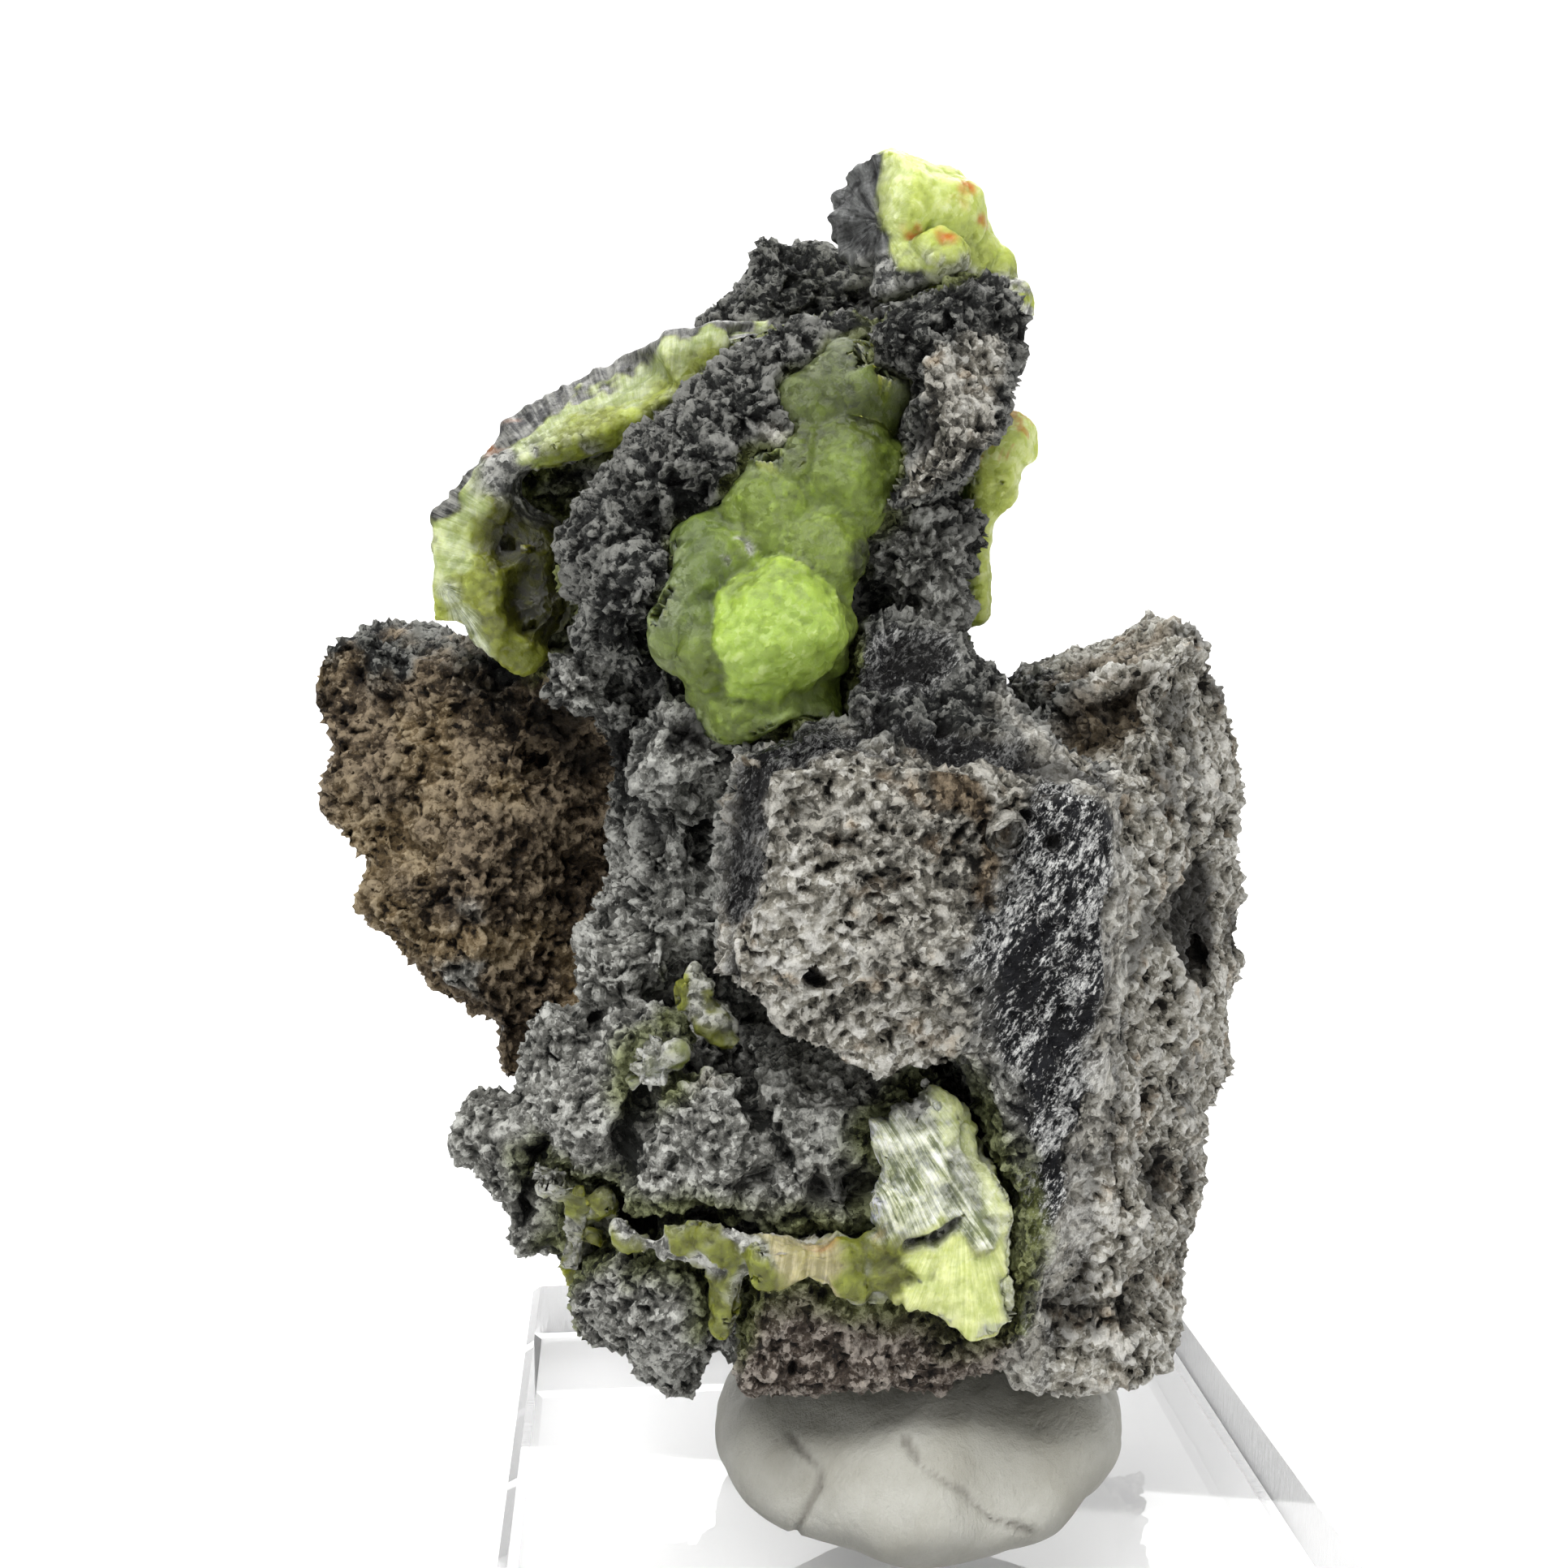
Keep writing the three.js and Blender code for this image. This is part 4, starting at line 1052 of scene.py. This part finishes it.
def front_masks(points, normals):
    """Where the strip, the flake, the band and the rind lie, with dust and gaps between them."""
    x, _, z = points.T
    ragged = 0.9 * layered(points, 1.4, 97, 4)
    lower = step_up(x + ragged, -1.4, -0.8) * step_down(z + ragged, 20.5, 21.1)
    strip = step_up(x + ragged, -2.8, -2.2) * (1 - lower) * step_up(z + 0.5 * ragged, 20.6, 21.1)
    corner = step_up(z - np.interp(x, *zip(*STRIP_CORNER)) + 0.4 * ragged, 0, 0.4)
    tail = step_up(x, -2.9, -2.5) * step_down(x + ragged, -1.4, -1) * step_down(z + 0.5 * ragged, 20, 20.6)
    edge = along(points, STRIP_EDGE, 0.4 * ragged, 0.3, 0.7)
    gap = along(points, STRIP_GAP, 0.25 * ragged, 0.02, 0.2)
    bare = along(points, STRIP_MIDDLE, 0.7 * ragged, 0.2, 0.8)
    outer = step_up(x - across_at(STRIP_MIDDLE, z) + 0.5 * ragged, 0, 0.6) * step_up(z, 20.9, 21.5)
    left = step_down(x + ragged, -6.2, -5.4)
    rind = left * step_up(ragged, -0.1, 0.2)
    return {
        "white": strip * (1 - 0.5 * edge) * (1 - 0.5 * outer),
        "glow": np.maximum(lower, 0.7 * edge * strip),
        "cream": (1 - strip) * (1 - lower) * (1 - left) * step_down(x + ragged, -4, -3.4),
        "gap": np.maximum(gap, 0.8 * tail),
        "dust": np.maximum.reduce([0.45 * bare * strip, corner, gap, rind]),
        "ash": 0.45 - 0.45 * gap,
        "light": 0.3 + 0.55 * outer,
        "rust": near(points, BAND_STAINS, 0.5) * step_up(ragged, -0.2, 0.4) * 0.5,
    }


def front_grooves(points, values):
    """Fibres, ragged flakes, and a band that is thinner than its node."""
    strip = rays(points, **STRIP_FAN, seed=98)
    lower = rays(points, **LOWER_FAN, seed=99)
    torn = 0.5 * layered(points, 1.3, 100, 4)
    flake = (0.2 * strip + torn) * values["white"] - 0.35 * values["dust"]
    band = (0.3 * layered(points, 0.9, 102) - 0.35) * values["cream"]
    return flake + band + (0.1 * lower + 0.4 * torn - 0.15) * values["glow"] - 0.5 * values["gap"]


# The small olive growths between the lower lumps
DRIP = [(-9.3, -9.6, 20, 1), (-9.3, -9.6, 18.4, 1)]


def strand_grooves(points, values):
    """Breaks up a growth that shows only in the gaps of the rock."""
    return 0.6 * layered(points, 1.7, 103) + 0.2 * facets(points, 0.7, 105)


def dusty_masks(points, normals):
    """Small growths that the grey druse mostly covers."""
    return {
        "dust": 0.85 * step_up(layered(points, 1.1, 101), -0.45, 0.1),
        "cool": np.full(len(points), 0.3),
        "light": np.full(len(points), 0.24),
    }


def patchy_masks(points, normals):
    """Growths that the grey druse covers in patches, with a bare drip."""
    drip = near(points, DRIP, 1)
    return {
        "dust": 0.85 * step_up(layered(points, 1, 104), -0.25, 0.1) * (1 - drip),
        "ash": np.full(len(points), 0.25),
        "light": 0.26 + 0.32 * drip,
    }


# The holder


CRACKS = [
    [(-5, 12), (-4.1, 11.5), (-4.7, 10.2), (-5, 8.6)],
    [(-1, 12.6), (-0.5, 12), (1, 11.3), (2, 10.2), (3.4, 9.6)],
]

# Lobes and dents of the putty, each with its place, radius, reach and height
PUTTY_SHAPING = [
    ((6.4, -8, 12.4), 0.6, 2.4, 0.9),
    ((2.6, -11.5, 11.6), 0.5, 2.2, -0.5),
    ((-5.2, -10.5, 11.2), 0.4, 2, -0.35),
    ((-0.8, -12, 9.4), 0.6, 2.2, 0.3),
    ((4.6, -11, 9), 0.5, 2, 0.25),
    ((3, 4, 12), 0.8, 2.5, -0.5),
]


def putty_foot(material):
    """The pressed blob of putty, cracked in front."""
    mesh = fine_copy("putty", "putty_foot", PUTTY_VOXEL, PUTTY_SMOOTHING)
    points = read(mesh, "co")
    ragged = 0.12 * layered(points, 1, 63)
    # The crack value also darkens the colour along these lines, as painted shade in the cracks
    crack = np.maximum.reduce([along(points, line, ragged, 0, 0.2) for line in CRACKS])
    crack = crack * step_down(points[:, 1], -7, -5)
    pressed = np.zeros(len(points))
    for spot, radius, reach, height in PUTTY_SHAPING:
        pressed = pressed + height * near(points, [(*spot, radius)], reach)
    push(mesh, 0.1 + pressed + 0.16 * layered(points, 3, 61) - 0.18 * crack)
    keep_values(mesh, crack=crack)
    place(mesh, "putty", "putty_foot", "putty", material)


# The studio


def floor():
    """A pale floor that curves up into a backdrop."""
    reach = 0.9
    back = 0.35
    radius = 0.25
    lowered = 0.0001
    steps = 16
    bend = np.linspace(0, math.pi / 2, steps + 1)[1:]
    profile = [(-reach, 0), (back, 0)]
    profile += [(back + radius * math.sin(turn), radius - radius * math.cos(turn)) for turn in bend]
    profile += [(back + radius, reach)]
    verts = [(x, y, z - lowered) for y, z in profile for x in (-reach, reach)]
    faces = [(2 * n, 2 * n + 1, 2 * n + 3, 2 * n + 2) for n in range(len(profile) - 1)]
    mesh = bpy.data.meshes.new("floor")
    mesh.from_pydata(verts, [], faces)
    mesh.polygons.foreach_set("use_smooth", np.ones(len(mesh.polygons), bool))
    m = Material("pale_floor")
    m.set(Base_Color=(0.95, 0.95, 0.95), Roughness=0.8)
    mesh.materials.append(m.data)
    sheet = add_object("floor", mesh)


def area_light(name, place_mm, target_mm, size, power):
    """A square soft light."""
    light = bpy.data.lights.new(name, "AREA")
    light.size = size
    light.energy = power
    lamp = add_object(name, light)
    lamp.location = Vector(place_mm) * MM
    away = lamp.location - Vector(target_mm) * MM
    lamp.rotation_euler = away.to_track_quat("Z", "Y").to_euler()


def light_scene():
    """A soft key from above on the left, a weak fill, a light from behind and one for the backdrop."""
    specimen = (0, 0, 32)
    backdrop = (0, 600, 120)
    area_light("key", (-110, -150, 380), specimen, size=0.2, power=1.75)
    area_light("fill", (240, -220, 140), specimen, size=0.3, power=0.3)
    area_light("back", (60, 260, 320), specimen, size=0.3, power=0.9)
    area_light("backdrop_light", (0, 150, 350), backdrop, size=0.4, power=2.5)
    world = bpy.context.scene.world or bpy.data.worlds.new("World")
    bpy.context.scene.world = world
    world.use_nodes = True
    background = world.node_tree.nodes["Background"]
    background.inputs["Color"].default_value = (1, 1, 1, 1)
    background.inputs["Strength"].default_value = 0.28


def camera():
    """The photo's viewpoint."""
    data = bpy.data.cameras.new("camera")
    data.angle = math.radians(FIELD_OF_VIEW)
    data.clip_start = 0.001
    view = add_object("camera", data)
    view.location = Vector(CAMERA_PLACE) * MM
    view.rotation_euler = (math.radians(90 - CAMERA_PITCH), 0, math.radians(-CAMERA_YAW))
    bpy.context.scene.camera = view


camera()
light_scene()
floor()
bpy.context.scene.view_settings.view_transform = "Standard"

crown = wavellite_material("crown_wavellite_look", YELLOWS, [
    ("white", CROWN_FAN, (0.3, 0.36, 0.15), (0.75, 0.8, 0.5)),
    ("fan", CROWN_FAN, (0.0005, 0.0005, 0.0008), (0.13, 0.135, 0.13)),
])
ridge = wavellite_material("ridge_wavellite_look", YELLOWS, [
    ("white", CREST_FAN, (0.34, 0.42, 0.2), (0.78, 0.83, 0.64)),
    ("rim", CREST_FAN, (0.005, 0.005, 0.005), (0.3, 0.3, 0.27)),
    ("nucleus", NUCLEUS_FAN, (0.2, 0.23, 0.11), (0.75, 0.8, 0.6)),
])
front = wavellite_material("front_wavellite_look", YELLOWS, [
    ("white", STRIP_FAN, (0.16, 0.185, 0.09), (0.93, 0.95, 0.8)),
    ("glow", LOWER_FAN, (0.48, 0.54, 0.18), (0.74, 0.78, 0.38)),
    ("cream", BAND_FAN, (0.3, 0.27, 0.13), (0.58, 0.52, 0.32)),
])
green = wavellite_material("green_wavellite_look", GREENS)
yellow = wavellite_material("yellow_wavellite_look", YELLOWS)

matrix_rock(rock_material())
growth(
    "crown_wavellite", "wavellite_bright", crown, crown_masks, crown_grooves,
    smoothing=10, closing=0, swell=0.2,
)
growth(
    "ridge_wavellite", "wavellite_pale", ridge, ridge_masks, ridge_grooves,
    smoothing=14, moves=RIDGE_MOVES,
)
growth(
    "central_wavellite", "wavellite_bright", green, central_masks, central_grooves,
    closing=0.45, dusting=0.15, moves=CENTRAL_MOVES,
)
growth(
    "side_wavellite", "wavellite_bright", yellow, side_masks,
    smoothing=24, closing=0.5, swell=0.15, dusting=0.3, moves=SIDE_MOVES,
)
growth(
    "front_wavellite", "wavellite_pale", front, front_masks, front_grooves,
    smoothing=22, closing=0.45, moves=FRONT_MOVES,
)
growth(
    "corner_wavellite", "wavellite_olive", yellow, patchy_masks, strand_grooves,
    smoothing=30, closing=0.6, swell=-0.1,
)
growth("cleft_wavellite", "wavellite_olive", yellow, patchy_masks, strand_grooves, smoothing=30, swell=-0.1)
growth("shoulder_wavellite", "wavellite_olive", yellow, dusty_masks, strand_grooves, smoothing=30, swell=-0.1)
putty_foot(putty_material())
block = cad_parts["display_block"]
block.data.materials.clear()
block.data.materials.append(acrylic_material())
